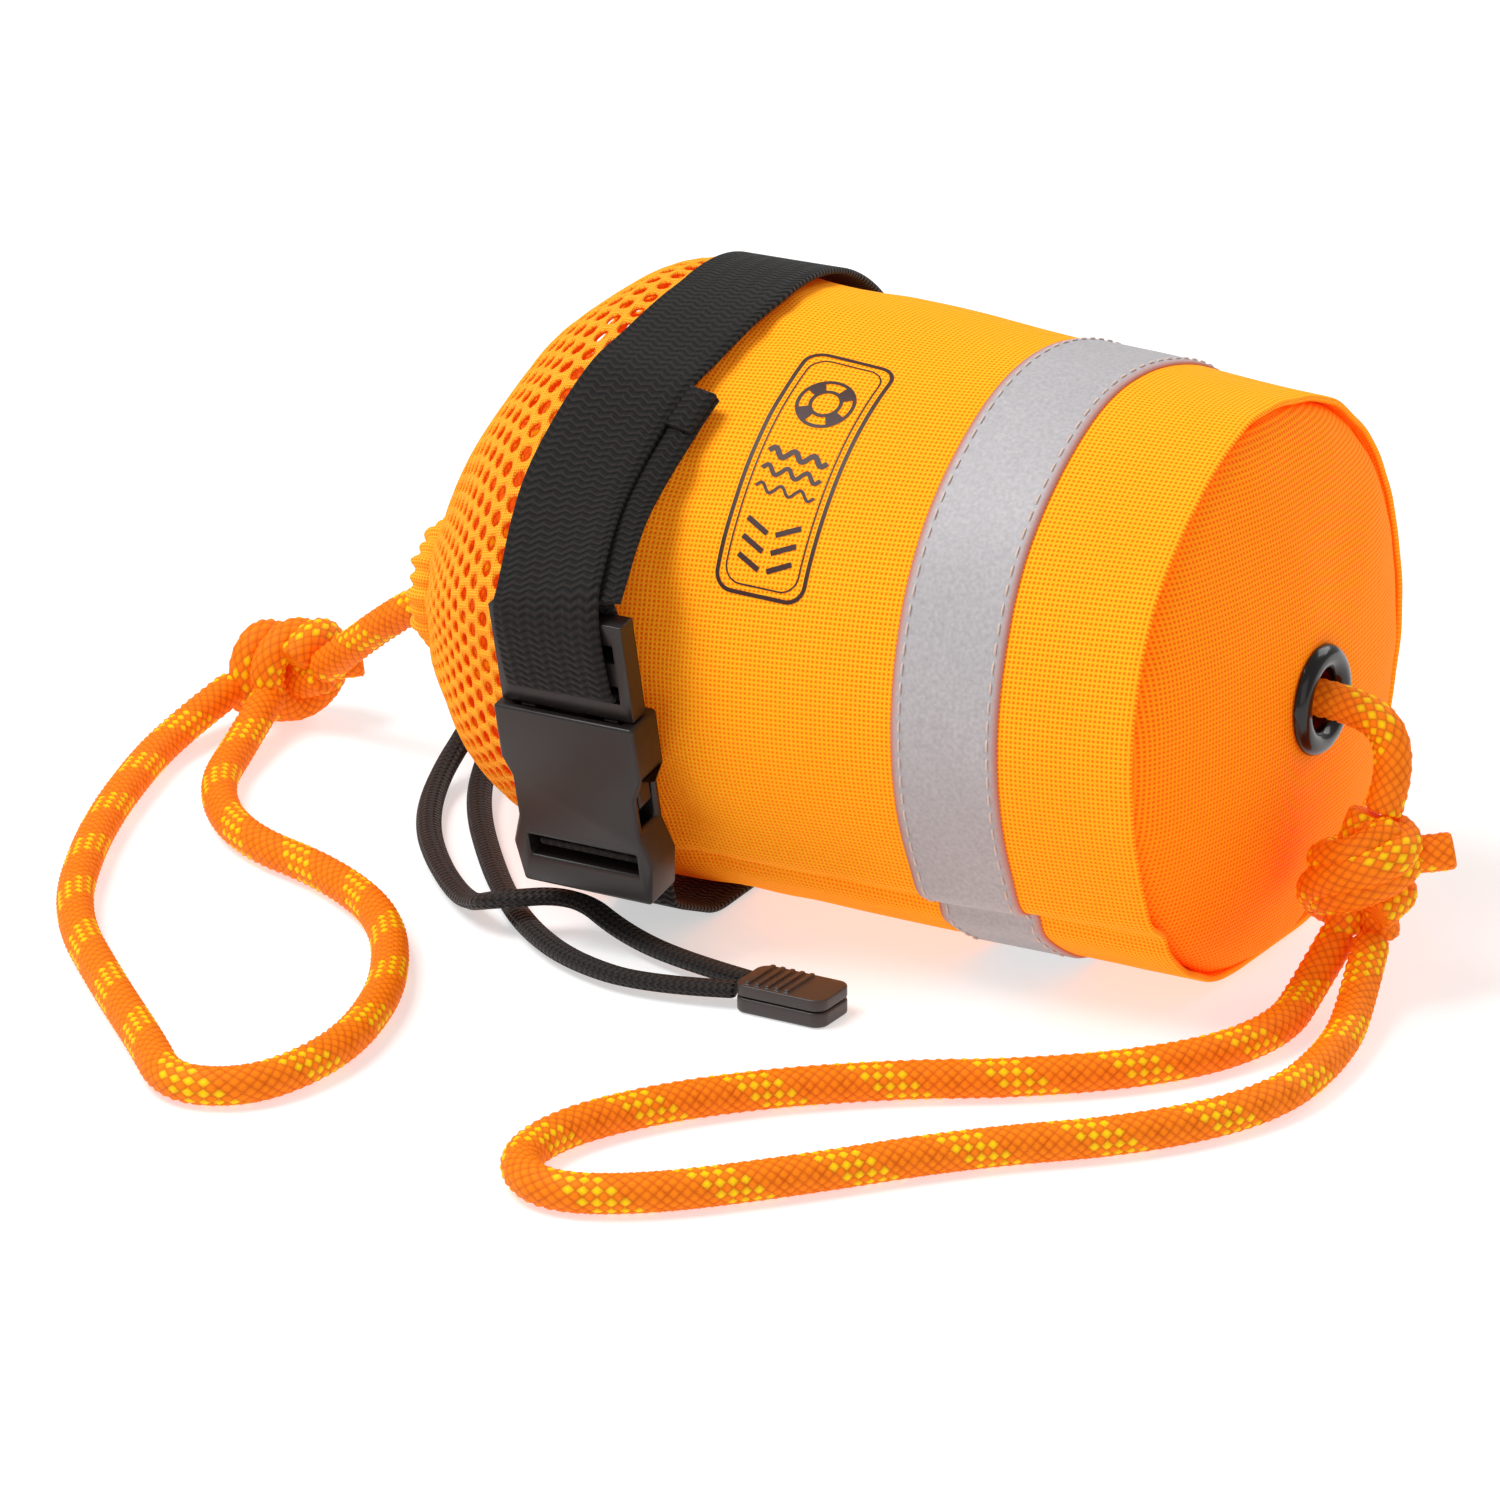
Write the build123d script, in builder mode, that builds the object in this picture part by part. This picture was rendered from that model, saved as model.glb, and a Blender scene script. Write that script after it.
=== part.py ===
from build123d import *
from math import cos, pi, radians, sin, tan
import os

os.makedirs("parts", exist_ok=True)

# Driving dimensions, millimetres.  +X runs along the bag to its base, Z = 0 is the floor it lies on.
ROPE_D = 8.0           # floating throw rope
WEB_W = 26.0           # belt webbing
WEB_T = 1.5
MOUTH_X = -50.0        # seam between the fabric body and the mesh collar
BASE_X = 81.5          # seam between the fabric body and the base panel
MOUTH_R = 68.0
BASE_R = 64.0
SINK = 3.0             # how far the round bag settles into its own flat
FABRIC_T = 1.5
BED_Z = 1.6            # height of the fabric's flat: webbing and tape lie under it
BAND_X = 38.3          # middle of the reflective band
BAND_W = 25.0
BULGE = 11.0           # the base panel stands out this far
EYE_R = 6.5            # grommet hole
BUCKLE_TILT = 12.0     # the buckle's plane leans this far under the bag
CORD_D = 5.0           # drawcord width
BASE_Z = BASE_R - SINK
MOUTH_Z = MOUTH_R - SINK


def body_radius(x):
    """Outer radius of the tapered fabric body at a place along the bag."""
    return MOUTH_R - (x - MOUTH_X) * (MOUTH_R - BASE_R) / (BASE_X - MOUTH_X)


def across(x):
    """Plane square to the bag's axis, with local x along +Y and local y along +Z."""
    return Plane(origin=(x, 0, 0), x_dir=(0, 1, 0), z_dir=(1, 0, 0))


def drum(rings, floor_z):
    """Solid through round rings, each (place, radius, centre height), cut off flat at a floor."""
    with BuildPart() as solid:
        for x, radius, centre_z in rings:
            with BuildSketch(across(x)):
                with Locations((0, centre_z)):
                    Circle(radius)
        loft(ruled=True)
        with Locations((0, 0, floor_z)):
            Box(400, 200, 20, align=(Align.CENTER, Align.CENTER, Align.MAX), mode=Mode.SUBTRACT)
    return solid.part


def turn_angle(a, b, c):
    """Degrees that a route turns through at its middle point."""
    return (Vector(*b) - Vector(*a)).get_angle(Vector(*c) - Vector(*b))


def route_radii(name, points):
    """Largest tangent arc at each corner of a route that its two runs allow."""
    radii = []
    for a, b, c in zip(points, points[1:], points[2:]):
        shorter = min((Vector(*b) - Vector(*a)).length, (Vector(*c) - Vector(*b)).length)
        radii.append(0.45 * shorter / tan(radians(turn_angle(a, b, c)) / 2))
    print(name, "radii", [round(r, 1) for r in radii])
    return radii


def cord_tube(name, points, diameter):
    """A plain round tube along straight runs joined by tangent arcs."""
    with BuildPart() as tube:
        with BuildLine() as path:
            FilletPolyline(*points, radius=route_radii(name, points))
        start = path.line @ 0
        with BuildSketch(Plane(origin=start, z_dir=path.line % 0)):
            Circle(diameter / 2)
        sweep()
    length = path.wire().length
    share = tube.part.volume / (pi * diameter ** 2 / 4 * length)
    print(name, "length", round(length, 1), "volume share", round(share, 4))
    return tube


def finish(block, name):
    """Label one finished piece and write its STEP file."""
    block.part.label = name
    export_step(block.part, "parts/" + name + ".step")


# Fabric body: an open tapered tube with a flat where it rests.
BODY_INNER = [
    (MOUTH_X - 0.01, MOUTH_R - FABRIC_T, MOUTH_Z),
    (BASE_X + 0.01, BASE_R - FABRIC_T, BASE_Z),
]
with BuildPart() as body_panel:
    add(drum([(MOUTH_X, MOUTH_R, MOUTH_Z), (BASE_X, BASE_R, BASE_Z)], BED_Z))
    add(drum(BODY_INNER, BED_Z + FABRIC_T), mode=Mode.SUBTRACT)
finish(body_panel, "body_panel")

# Base panel: a shallow dome with the grommet's hole in its middle.
PANEL_X = BASE_X + 0.05
HOLE_R = EYE_R + 1.1
DOME_R = (BASE_R ** 2 + BULGE ** 2) / (2 * BULGE)
HALF_RISE = (DOME_R ** 2 - (BASE_R / 2) ** 2) ** 0.5 - (DOME_R - BULGE)
with BuildPart() as base_panel:
    with BuildSketch(Plane.XZ):
        with BuildLine():
            ThreePointArc(
                (PANEL_X + BULGE, BASE_Z),
                (PANEL_X + HALF_RISE, BASE_Z + BASE_R / 2),
                (PANEL_X, BASE_Z + BASE_R),
            )
            Line((PANEL_X, BASE_Z + BASE_R), (PANEL_X, BASE_Z + BASE_R - FABRIC_T))
            ThreePointArc(
                (PANEL_X, BASE_Z + BASE_R - FABRIC_T),
                (PANEL_X + HALF_RISE - FABRIC_T, BASE_Z + BASE_R / 2),
                (PANEL_X + BULGE - FABRIC_T, BASE_Z),
            )
            Line((PANEL_X + BULGE - FABRIC_T, BASE_Z), (PANEL_X + BULGE, BASE_Z))
        make_face()
    revolve(axis=Axis((0, 0, BASE_Z), (1, 0, 0)))
    with BuildSketch(across(PANEL_X)):
        with Locations((0, BASE_Z)):
            Circle(HOLE_R)
    extrude(amount=2 * BULGE, mode=Mode.SUBTRACT)
    with Locations((PANEL_X, 0, BED_Z)):
        Box(40, 160, 20, align=(Align.CENTER, Align.CENTER, Align.MAX), mode=Mode.SUBTRACT)
finish(base_panel, "base_panel")

# Tape that binds the base seam's raw edge, inside the bag.
TAPE_X = BASE_X - 6.0
TAPE_R = BASE_R - FABRIC_T - 0.3
TAPE_END = BASE_X - 0.2
with BuildPart() as seam_tape:
    add(drum([(TAPE_X, TAPE_R, BASE_Z), (TAPE_END, TAPE_R, BASE_Z)], BED_Z + FABRIC_T + 0.2))
    bore = [(TAPE_X - 1, TAPE_R - 1, BASE_Z), (TAPE_END + 1, TAPE_R - 1, BASE_Z)]
    add(drum(bore, BED_Z + FABRIC_T + 1.2), mode=Mode.SUBTRACT)
finish(seam_tape, "seam_tape")

# Closed-cell foam disc that floats the bag, with the rope's hole through it.
FOAM_X = 61.0
FOAM_T = 13.0
FOAM_R = TAPE_R - 1.5
with BuildPart() as foam_disc:
    add(drum([(FOAM_X, FOAM_R, BASE_Z), (FOAM_X + FOAM_T, FOAM_R, BASE_Z)], BED_Z + FABRIC_T + 1.5))
    with BuildSketch(across(FOAM_X)):
        with Locations((0, BASE_Z)):
            Circle(ROPE_D / 2 + 0.6)
    extrude(amount=FOAM_T, mode=Mode.SUBTRACT)
finish(foam_disc, "foam_disc")

# Two-piece grommet: the outer flange with its barrel, and the washer behind the panel.
FLANGE_X = PANEL_X + BULGE + 0.05
FLANGE_R = 12.2
with BuildPart() as grommet_flange:
    with BuildSketch(Plane.XZ):
        with BuildLine():
            Line((FLANGE_X - 3.4, BASE_Z + EYE_R), (FLANGE_X, BASE_Z + EYE_R))
            ThreePointArc(
                (FLANGE_X, BASE_Z + EYE_R),
                (FLANGE_X + 2.8, BASE_Z + (EYE_R + FLANGE_R) / 2),
                (FLANGE_X, BASE_Z + FLANGE_R),
            )
            Polyline(
                (FLANGE_X, BASE_Z + FLANGE_R),
                (FLANGE_X, BASE_Z + EYE_R + 1.0),
                (FLANGE_X - 3.4, BASE_Z + EYE_R + 1.0),
                (FLANGE_X - 3.4, BASE_Z + EYE_R),
            )
        make_face()
    revolve(axis=Axis((0, 0, BASE_Z), (1, 0, 0)))
finish(grommet_flange, "grommet_flange")

with BuildPart() as grommet_washer:
    with BuildSketch(across(PANEL_X + BULGE - FABRIC_T - 1.5)):
        with Locations((0, BASE_Z)):
            Circle(FLANGE_R - 0.6)
            Circle(EYE_R + 1.05, mode=Mode.SUBTRACT)
    extrude(amount=1.0)
finish(grommet_washer, "grommet_washer")

# Reflective band sewn round the body; its underside is the face the bag stands on.
BAND_LOW = BAND_X - BAND_W / 2
BAND_HIGH = BAND_X + BAND_W / 2


def band_rings(gap, past):
    """The band's two rings, a gap outside the fabric and a little past its edges."""
    rings = []
    for x, step in ((BAND_LOW, -past), (BAND_HIGH, past)):
        radius = body_radius(x + step)
        rings.append((x + step, radius + gap, radius - SINK))
    return rings


with BuildPart() as reflective_band:
    add(drum(band_rings(0.9, 0), 0))
    add(drum(band_rings(0.1, 0.01), BED_Z - 0.1), mode=Mode.SUBTRACT)
finish(reflective_band, "reflective_band")

# Mesh collar: a gathered dome whose middle droops towards the mouth.  Each row is place, radius, centre height.
MESH_T = 1.2
COLLAR = [
    (-50.1, 68.0, 65.0),
    (-66.0, 66.0, 63.5),
    (-84.0, 58.0, 60.5),
    (-99.0, 47.0, 57.0),
    (-111.0, 34.0, 54.0),
    (-119.0, 22.0, 52.0),
    (-122.7, 13.5, 50.0),
]


with BuildPart() as mesh_collar:
    add(drum(COLLAR, BED_Z))
    add(drum([(x, r - MESH_T, z) for x, r, z in COLLAR], BED_Z + MESH_T), mode=Mode.SUBTRACT)
finish(mesh_collar, "mesh_collar")

# Hem tunnel round the mouth, and the drawcord that runs inside it.
HEM_X = -126.5
HEM_Z = 50.0
HEM_R = 12.5
HEM_TUBE = 3.6
with BuildPart() as mouth_hem:
    with BuildSketch(Plane.XZ):
        with Locations((HEM_X, HEM_Z + HEM_R)):
            Circle(HEM_TUBE)
            Circle(2.2, mode=Mode.SUBTRACT)
    revolve(axis=Axis((0, 0, HEM_Z), (1, 0, 0)))
finish(mouth_hem, "mouth_hem")

with BuildPart() as drawcord_ring:
    with BuildSketch(Plane.XZ):
        with Locations((HEM_X, HEM_Z + HEM_R)):
            Circle(1.8)
    revolve(axis=Axis((0, 0, HEM_Z), (1, 0, 0)))
finish(drawcord_ring, "drawcord_ring")

# Packed rope: the stuffed coil as one plain solid, and its straight end through the foam.
PACK_LOW = -94.0
PACK_HIGH = FOAM_X - 0.3
with BuildPart() as packed_rope:
    with BuildSketch(across(PACK_LOW)):
        with Locations((0, 57)):
            Circle(38)
    with BuildSketch(across(PACK_LOW + 34)):
        with Locations((0, 58)):
            Circle(52)
    loft()
    with BuildSketch(across(PACK_LOW + 34)):
        with Locations((0, 58)):
            Circle(52)
    extrude(amount=PACK_HIGH - PACK_LOW - 34)
finish(packed_rope, "packed_rope")

TAIL_START = 79.0
with BuildPart() as inner_rope:
    with BuildSketch(across(FOAM_X)):
        with Locations((0, BASE_Z)):
            Circle(ROPE_D / 2)
    extrude(amount=TAIL_START - FOAM_X)
finish(inner_rope, "inner_rope")


# Belt webbing.  Its upper half leans towards the base at the top, its lower half runs askew under the bag.
WEB_IN = MOUTH_R + 2.9
WEB_MID = WEB_IN + WEB_T / 2
LEAN = 9.0 / WEB_MID
SKEW = 0.066
UPPER_PLANE = Plane(origin=(-51.5 - WEB_W / 2, 0, MOUTH_Z), x_dir=(0, 1, 0), z_dir=(1, 0, -LEAN))
LOWER_PLANE = Plane(origin=(-49.5 - WEB_W / 2, 0, 0), x_dir=(-SKEW, 1, 0), z_dir=(1, SKEW, 0))
BUCKLE_OUT = WEB_IN + 0.2
TILT = radians(BUCKLE_TILT)
BUCKLE_X = -45.5
BUCKLE = Plane(
    origin=(BUCKLE_X, -BUCKLE_OUT * cos(TILT), MOUTH_Z - BUCKLE_OUT * sin(TILT)),
    x_dir=(1, 0, 0),
    z_dir=(0, -cos(TILT), -sin(TILT)),
)


def beside_bag(along, out):
    """Y and Z of a point given up the buckle's face and out from its back."""
    place = BUCKLE.from_local_coords(Vector(0, along, out))
    return place.Y, place.Z


def on_ring(angle, radius):
    """Local Y and Z, counted from the bag's axis, at an angle up from the front."""
    return -radius * cos(radians(angle)), radius * sin(radians(angle))


JOIN_Y, JOIN_Z = beside_bag(38.0, 6.2)
LEAVE_Y, LEAVE_Z = on_ring(30, WEB_MID)
BACK_Y, BACK_Z = on_ring(196, WEB_MID)
with BuildPart() as strap_upper:
    with BuildSketch(UPPER_PLANE):
        with BuildLine():
            Line((JOIN_Y, JOIN_Z - MOUTH_Z), (LEAVE_Y, LEAVE_Z))
            ThreePointArc((LEAVE_Y, LEAVE_Z), (0, WEB_MID), (BACK_Y, BACK_Z))
        trace(line_width=WEB_T)
    extrude(amount=WEB_W, dir=(1, 0, 0))
finish(strap_upper, "strap_upper")

# Free tail of the webbing, doubled back under the upper strap.
TAIL_R = MOUTH_R + 1.95
TAIL_PLANE = Plane(origin=(-47.5 - WEB_W / 2, 0, MOUTH_Z), x_dir=(0, 1, 0), z_dir=(1, 0, -LEAN))
with BuildPart() as strap_tail:
    with BuildSketch(TAIL_PLANE):
        with BuildLine():
            ThreePointArc(on_ring(33, TAIL_R), on_ring(47, TAIL_R), on_ring(60, TAIL_R))
        trace(line_width=1.2)
    extrude(amount=WEB_W, dir=(1, 0, 0))
finish(strap_tail, "strap_tail")

# Lower strap: out of the buckle's slot, round under the bag and up its back.
BACK_CORNER = (55.0, 10.5)
with BuildPart() as strap_lower:
    with BuildSketch(LOWER_PLANE):
        with BuildLine():
            FilletPolyline(
                beside_bag(-24.5, 8.0),
                beside_bag(-24.5, -0.8),
                (-57.0, 9.0),
                (-38.0, WEB_T / 2),
                (28.0, WEB_T / 2),
                BACK_CORNER,
                (67.5, 41.0),
                radius=[1.2, 14.0, 18.0, 45.0, 32.0],
            )
        trace(line_width=WEB_T)
    extrude(amount=WEB_W, dir=(1, 0, 0))
finish(strap_lower, "strap_lower")

# Sewn patch that joins the two straps at the bag's back.
TACK_R = WEB_MID + WEB_T + 0.2
with BuildPart() as strap_tack:
    with BuildSketch(across(-54 - WEB_W / 2 + 2)):
        with BuildLine():
            ThreePointArc(
                (TACK_R * cos(radians(12)), MOUTH_Z - TACK_R * sin(radians(12))),
                (TACK_R * cos(radians(18)), MOUTH_Z - TACK_R * sin(radians(18))),
                (TACK_R * cos(radians(24)), MOUTH_Z - TACK_R * sin(radians(24))),
            )
        trace(line_width=1.0)
    extrude(amount=WEB_W - 4)
finish(strap_tack, "strap_tack")

# Side-release buckle.  Local x is the bag's +X, y runs up the buckle and z stands out from the bag.
CASE_W = 35.0
CASE_T = 10.4
CASE_TOP = 10.0
CASE_LOW = -34.0
WAIST_W = 30.4
SLOT_W = WEB_W + 1.4
CAVITY_W = 27.0
CAVITY_LOW = 2.2
CAVITY_T = 6.0
OUTLINE = [
    (CASE_W / 2, CASE_TOP),
    (CASE_W / 2, -3.0),
    (WAIST_W / 2, -8.0),
    (WAIST_W / 2, -17.0),
    (CASE_W / 2, -24.0),
    (CASE_W / 2 - 1.5, CASE_LOW),
]
with BuildPart() as buckle_female:
    with BuildSketch(BUCKLE):
        with BuildLine():
            Polyline(*OUTLINE, *[(-u, v) for u, v in reversed(OUTLINE)], close=True)
        make_face()
    extrude(amount=CASE_T)
    with BuildSketch(BUCKLE.offset(CAVITY_LOW)):
        with Locations((0, CASE_TOP)):
            Rectangle(CAVITY_W, 31, align=(Align.CENTER, Align.MAX))
        with Locations((0, -3.5)):
            Rectangle(CASE_W + 4, 12.5, align=(Align.CENTER, Align.MAX))
    extrude(amount=CAVITY_T, mode=Mode.SUBTRACT)
    with BuildSketch(BUCKLE):
        with Locations((0, -24.5)):
            Rectangle(SLOT_W, 5)
    extrude(amount=CASE_T, mode=Mode.SUBTRACT)
finish(buckle_female, "buckle_female")

# Male half: a webbing frame with a guide tongue, and two sprung prongs.
FRAME_LOW = CASE_TOP + 0.35
FRAME_TOP = 33.5
with BuildPart() as buckle_male:
    with BuildSketch(BUCKLE.offset(2.6)):
        with Locations((0, FRAME_LOW)):
            Rectangle(33, FRAME_TOP - FRAME_LOW, align=(Align.CENTER, Align.MIN))
        with Locations((0, 16.5), (0, 26.5)):
            Rectangle(SLOT_W, 4.2, mode=Mode.SUBTRACT)
    extrude(amount=5.2)
    with BuildSketch(BUCKLE.offset(3.2)):
        with Locations((0, FRAME_LOW)):
            Rectangle(8, 27, align=(Align.CENTER, Align.MAX))
    extrude(amount=4.0)
finish(buckle_male, "buckle_male")

PRONG_TOP = CASE_TOP - 0.05
for side, name in ((-1, "prong_left"), (1, "prong_right")):
    with BuildPart() as prong:
        with BuildSketch(BUCKLE.offset(2.8)):
            with BuildLine():
                Polyline(
                    (side * 8.6, PRONG_TOP),
                    (side * 12.2, PRONG_TOP),
                    (side * 12.2, -5.0),
                    (side * 14.9, -5.6),
                    (side * 14.9, -11.0),
                    (side * 11.5, -15.0),
                    (side * 9.2, -15.0),
                    (side * 8.6, -6.0),
                    close=True,
                )
            make_face()
        extrude(amount=4.8)
    finish(prong, name)

# Webbing looped round the male half's top bar.
with BuildPart() as strap_male_loop:
    with BuildSketch(across(BUCKLE_X - WEB_W / 2)):
        with BuildLine():
            FilletPolyline(
                beside_bag(36.0, 7.0),
                beside_bag(33.8, 8.7),
                beside_bag(26.3, 8.7),
                beside_bag(26.3, 1.6),
                beside_bag(33.0, 1.6),
                radius=[1.2, 1.2, 1.2],
            )
        trace(line_width=1.4)
    extrude(amount=WEB_W)
finish(strap_male_loop, "strap_male_loop")


def knot_lump(centre, axis, length, radius):
    """A plain rounded lump the size of a tied knot."""
    plane = Plane(origin=Vector(*centre) - Vector(*axis).normalized() * length / 2, z_dir=axis)
    with BuildPart() as lump:
        with BuildSketch(plane):
            Circle(radius)
        extrude(amount=length)
        fillet(lump.edges(), radius=radius * 0.45)
    return lump


# Base rope: out of the grommet, into a knot beside the base, and round a hand loop on the floor.
BASE_TAIL = [(TAIL_START, 0, BASE_Z), (101, 0.5, 62.5), (113.5, -1, 54), (111, -6, 40.6)]
BASE_LOOP = [
    (104, -11, 13.6),
    (103, -24, 5),
    (107, -44, 4),
    (99, -68, 4),
    (76, -91, 4),
    (48, -108, 4),
    (22, -131, 4),
    (5, -157, 4),
    (3.5, -179, 4),
    (17, -190, 4),
    (35, -182, 4),
    (56, -160, 4),
    (80, -130, 4),
    (108, -106, 4),
    (124, -78, 4),
    (122, -46, 4),
    (115.5, -25, 6.5),
    (112, -12, 13.6),
]
finish(cord_tube("base_rope_tail", BASE_TAIL, ROPE_D), "base_rope_tail")
finish(knot_lump((108, -8, 27), (0, 0, 1), 27, 13), "base_knot")
finish(cord_tube("base_hand_loop", BASE_LOOP, ROPE_D), "base_hand_loop")

# Mouth rope: out of the mesh, into a knot on the floor, and round a second hand loop.
MOUTH_TAIL = [(-117, 0, 46.5), (-134, 1.5, 45), (-152, 6.5, 33.5), (-173, 13.2, 17)]
MOUTH_LOOP = [
    (-196, 9, 9.5),
    (-198.5, -11, 4.2),
    (-189, -42, 4),
    (-174, -78, 4),
    (-152, -116, 4),
    (-120, -145, 4),
    (-94, -167, 4),
    (-78, -182, 4),
    (-63, -176, 4),
    (-58, -158, 4),
    (-60, -138, 4),
    (-70, -112, 4),
    (-90, -84, 4),
    (-116, -68, 4),
    (-146, -60, 4),
    (-169, -38, 4),
    (-180, -11, 4.2),
    (-185, 8, 9.5),
]
finish(cord_tube("mouth_rope_tail", MOUTH_TAIL, ROPE_D), "mouth_rope_tail")
finish(knot_lump((-186, 17, 13.2), (-0.96, 0.28, 0), 27, 13), "mouth_knot")
finish(cord_tube("mouth_hand_loop", MOUTH_LOOP, ROPE_D), "mouth_hand_loop")

# Cord lock on the drawcord, behind the mouth: a barrel, its plunger and the spring between them.
LOCK = Plane(origin=(-127, 17, 28), x_dir=(1, 0, 0), z_dir=(0, 1, 0))
LOCK_R = 7.0
LOCK_L = 14.0
with BuildPart() as lock_barrel:
    with BuildSketch(LOCK):
        Circle(LOCK_R)
    extrude(amount=LOCK_L)
    with BuildSketch(LOCK.offset(2.0)):
        Circle(5.0)
    extrude(amount=LOCK_L, mode=Mode.SUBTRACT)
finish(lock_barrel, "lock_barrel")

with BuildPart() as lock_plunger:
    with BuildSketch(LOCK.offset(7.0)):
        Circle(4.8)
    extrude(amount=12.0)
finish(lock_plunger, "lock_plunger")

with BuildPart() as lock_spring:
    with BuildSketch(LOCK.offset(2.2)):
        Circle(3.6)
        Circle(2.4, mode=Mode.SUBTRACT)
    extrude(amount=4.6)
finish(lock_spring, "lock_spring")

# Short neck of drawcord from the hem to the lock.
with BuildPart() as drawcord_neck:
    with BuildSketch(Plane(origin=(-131.5, 0, 0), x_dir=(0, 1, 0), z_dir=(1, 0, 0))):
        with BuildLine():
            Line((11.8, 38.2), (20.5, 35.9))
        trace(line_width=1.8)
    extrude(amount=9)
finish(drawcord_neck, "drawcord_neck")

# Drawcord strands: down from the lock, over the floor and into the cord end.
STRAND_A = [
    (-129.5, 23, 20.9),
    (-131, 12, 11),
    (-129, -6, 3.2),
    (-116, -30, 2.7),
    (-99, -50, 2.7),
    (-82, -65, 2.7),
    (-70, -73, 8.6),
    (-56, -61, 8.6),
    (-42, -64, 3.2),
    (-23, -70.5, 2.9),
    (-3.7, -74, 3.5),
]
STRAND_B = [
    (-123.8, 23, 20.9),
    (-124.5, 14, 11),
    (-121, 0, 3.2),
    (-109, -19, 2.7),
    (-93, -39, 2.7),
    (-78, -56, 2.7),
    (-62, -71, 2.7),
    (-44, -82, 2.7),
    (-23, -86, 2.9),
    (-4.1, -79.8, 3.5),
]
finish(cord_tube("drawcord_strand_a", STRAND_A, CORD_D), "drawcord_strand_a")
finish(cord_tube("drawcord_strand_b", STRAND_B, CORD_D), "drawcord_strand_b")

# Two-part cord end that closes over both strands.
END_X = -3.0
END_Y = -76.9
END_L = 22.0
END_W = 13.0
END_SPLIT = 3.6
with BuildPart() as cord_end_base:
    with BuildSketch(Plane.XY):
        with Locations((END_X + END_L / 2, END_Y)):
            RectangleRounded(END_L, END_W, 3)
    extrude(amount=END_SPLIT - 0.15)
finish(cord_end_base, "cord_end_base")

RIB_COUNT = 5
with BuildPart() as cord_end_lid:
    with BuildSketch(Plane.XY.offset(END_SPLIT + 0.15)):
        with Locations((END_X + END_L / 2, END_Y)):
            RectangleRounded(END_L, END_W, 3)
    extrude(amount=2.6)
    with BuildSketch(Plane.XY.offset(END_SPLIT + 2.75)):
        with Locations((END_X + 8, END_Y)):
            with GridLocations(2.4, 0, RIB_COUNT, 1):
                Rectangle(1.2, END_W - 1.6)
    extrude(amount=0.7)
finish(cord_end_lid, "cord_end_lid")
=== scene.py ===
"""Throw rope bag, built round its frame: fabric, mesh, webbing, buckle, ropes and drawcord."""

import math
import random

import bpy
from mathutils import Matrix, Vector, noise


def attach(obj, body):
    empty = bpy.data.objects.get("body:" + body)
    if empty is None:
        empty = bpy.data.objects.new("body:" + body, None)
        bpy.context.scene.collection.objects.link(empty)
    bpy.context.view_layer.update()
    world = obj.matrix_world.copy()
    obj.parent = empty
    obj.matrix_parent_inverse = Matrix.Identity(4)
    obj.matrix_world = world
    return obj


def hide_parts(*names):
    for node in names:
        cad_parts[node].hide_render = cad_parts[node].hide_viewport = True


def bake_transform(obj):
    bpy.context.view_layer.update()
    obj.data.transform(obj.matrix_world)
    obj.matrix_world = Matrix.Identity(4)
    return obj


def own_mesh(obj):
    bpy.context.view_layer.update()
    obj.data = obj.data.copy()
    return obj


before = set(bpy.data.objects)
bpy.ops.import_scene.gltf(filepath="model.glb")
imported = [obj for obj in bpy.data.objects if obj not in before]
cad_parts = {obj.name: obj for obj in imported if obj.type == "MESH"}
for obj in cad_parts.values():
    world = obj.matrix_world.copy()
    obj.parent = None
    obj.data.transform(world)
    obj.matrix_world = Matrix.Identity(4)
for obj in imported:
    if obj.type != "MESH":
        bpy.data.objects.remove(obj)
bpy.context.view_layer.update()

bl_info = {
    "name": "Throw Rope Bag",
    "version": (1, 0, 0),
    "blender": (4, 5, 0),
    "location": "3D View > Sidebar > Throw Bag",
    "description": "Builds a throw rope bag piece by piece",
    "category": "Add Mesh",
}

MM = 0.001
ROOT = "root"

# Sizes shared by several pieces, in millimetres.
MOUTH_X, MOUTH_R = -50.0, 68.0  # where the fabric body starts, and its radius there
BASE_X, BASE_R = 81.5, 64.0  # where it ends, and its radius there
SINK = 3.0  # how far the round bag would sink into the floor
BED = 1.6  # height of its flattened underside
BAND_X = 38.3  # middle of the reflective tape
BULGE = 11.0  # how far the base panel swells out
AXIS_Z = MOUTH_R - SINK  # height of the belt's middle line
LEAN = 9.0 / 71.65  # how far the belt leans along the bag for each millimetre up
SKEW = 0.066  # how far its lower run slants
WEB_THICK = 1.45
PLAITS = 10.0  # rope strands that turn each way
BUCKLE_X, BUCKLE_OUT, BUCKLE_TILT = -45.5, 71.1, math.radians(12)

SWATCH = {"size": 4, "min": 0.0, "max": 1.0, "subtype": "COLOR"}


def linear(hex_code):
    """An sRGB hex colour as linear red, green, blue and alpha."""
    channels = [int(hex_code[i : i + 2], 16) / 255 for i in (1, 3, 5)]
    curve = [c / 12.92 if c <= 0.04045 else ((c + 0.055) / 1.055) ** 2.4 for c in channels]
    return (*curve, 1.0)


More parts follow.
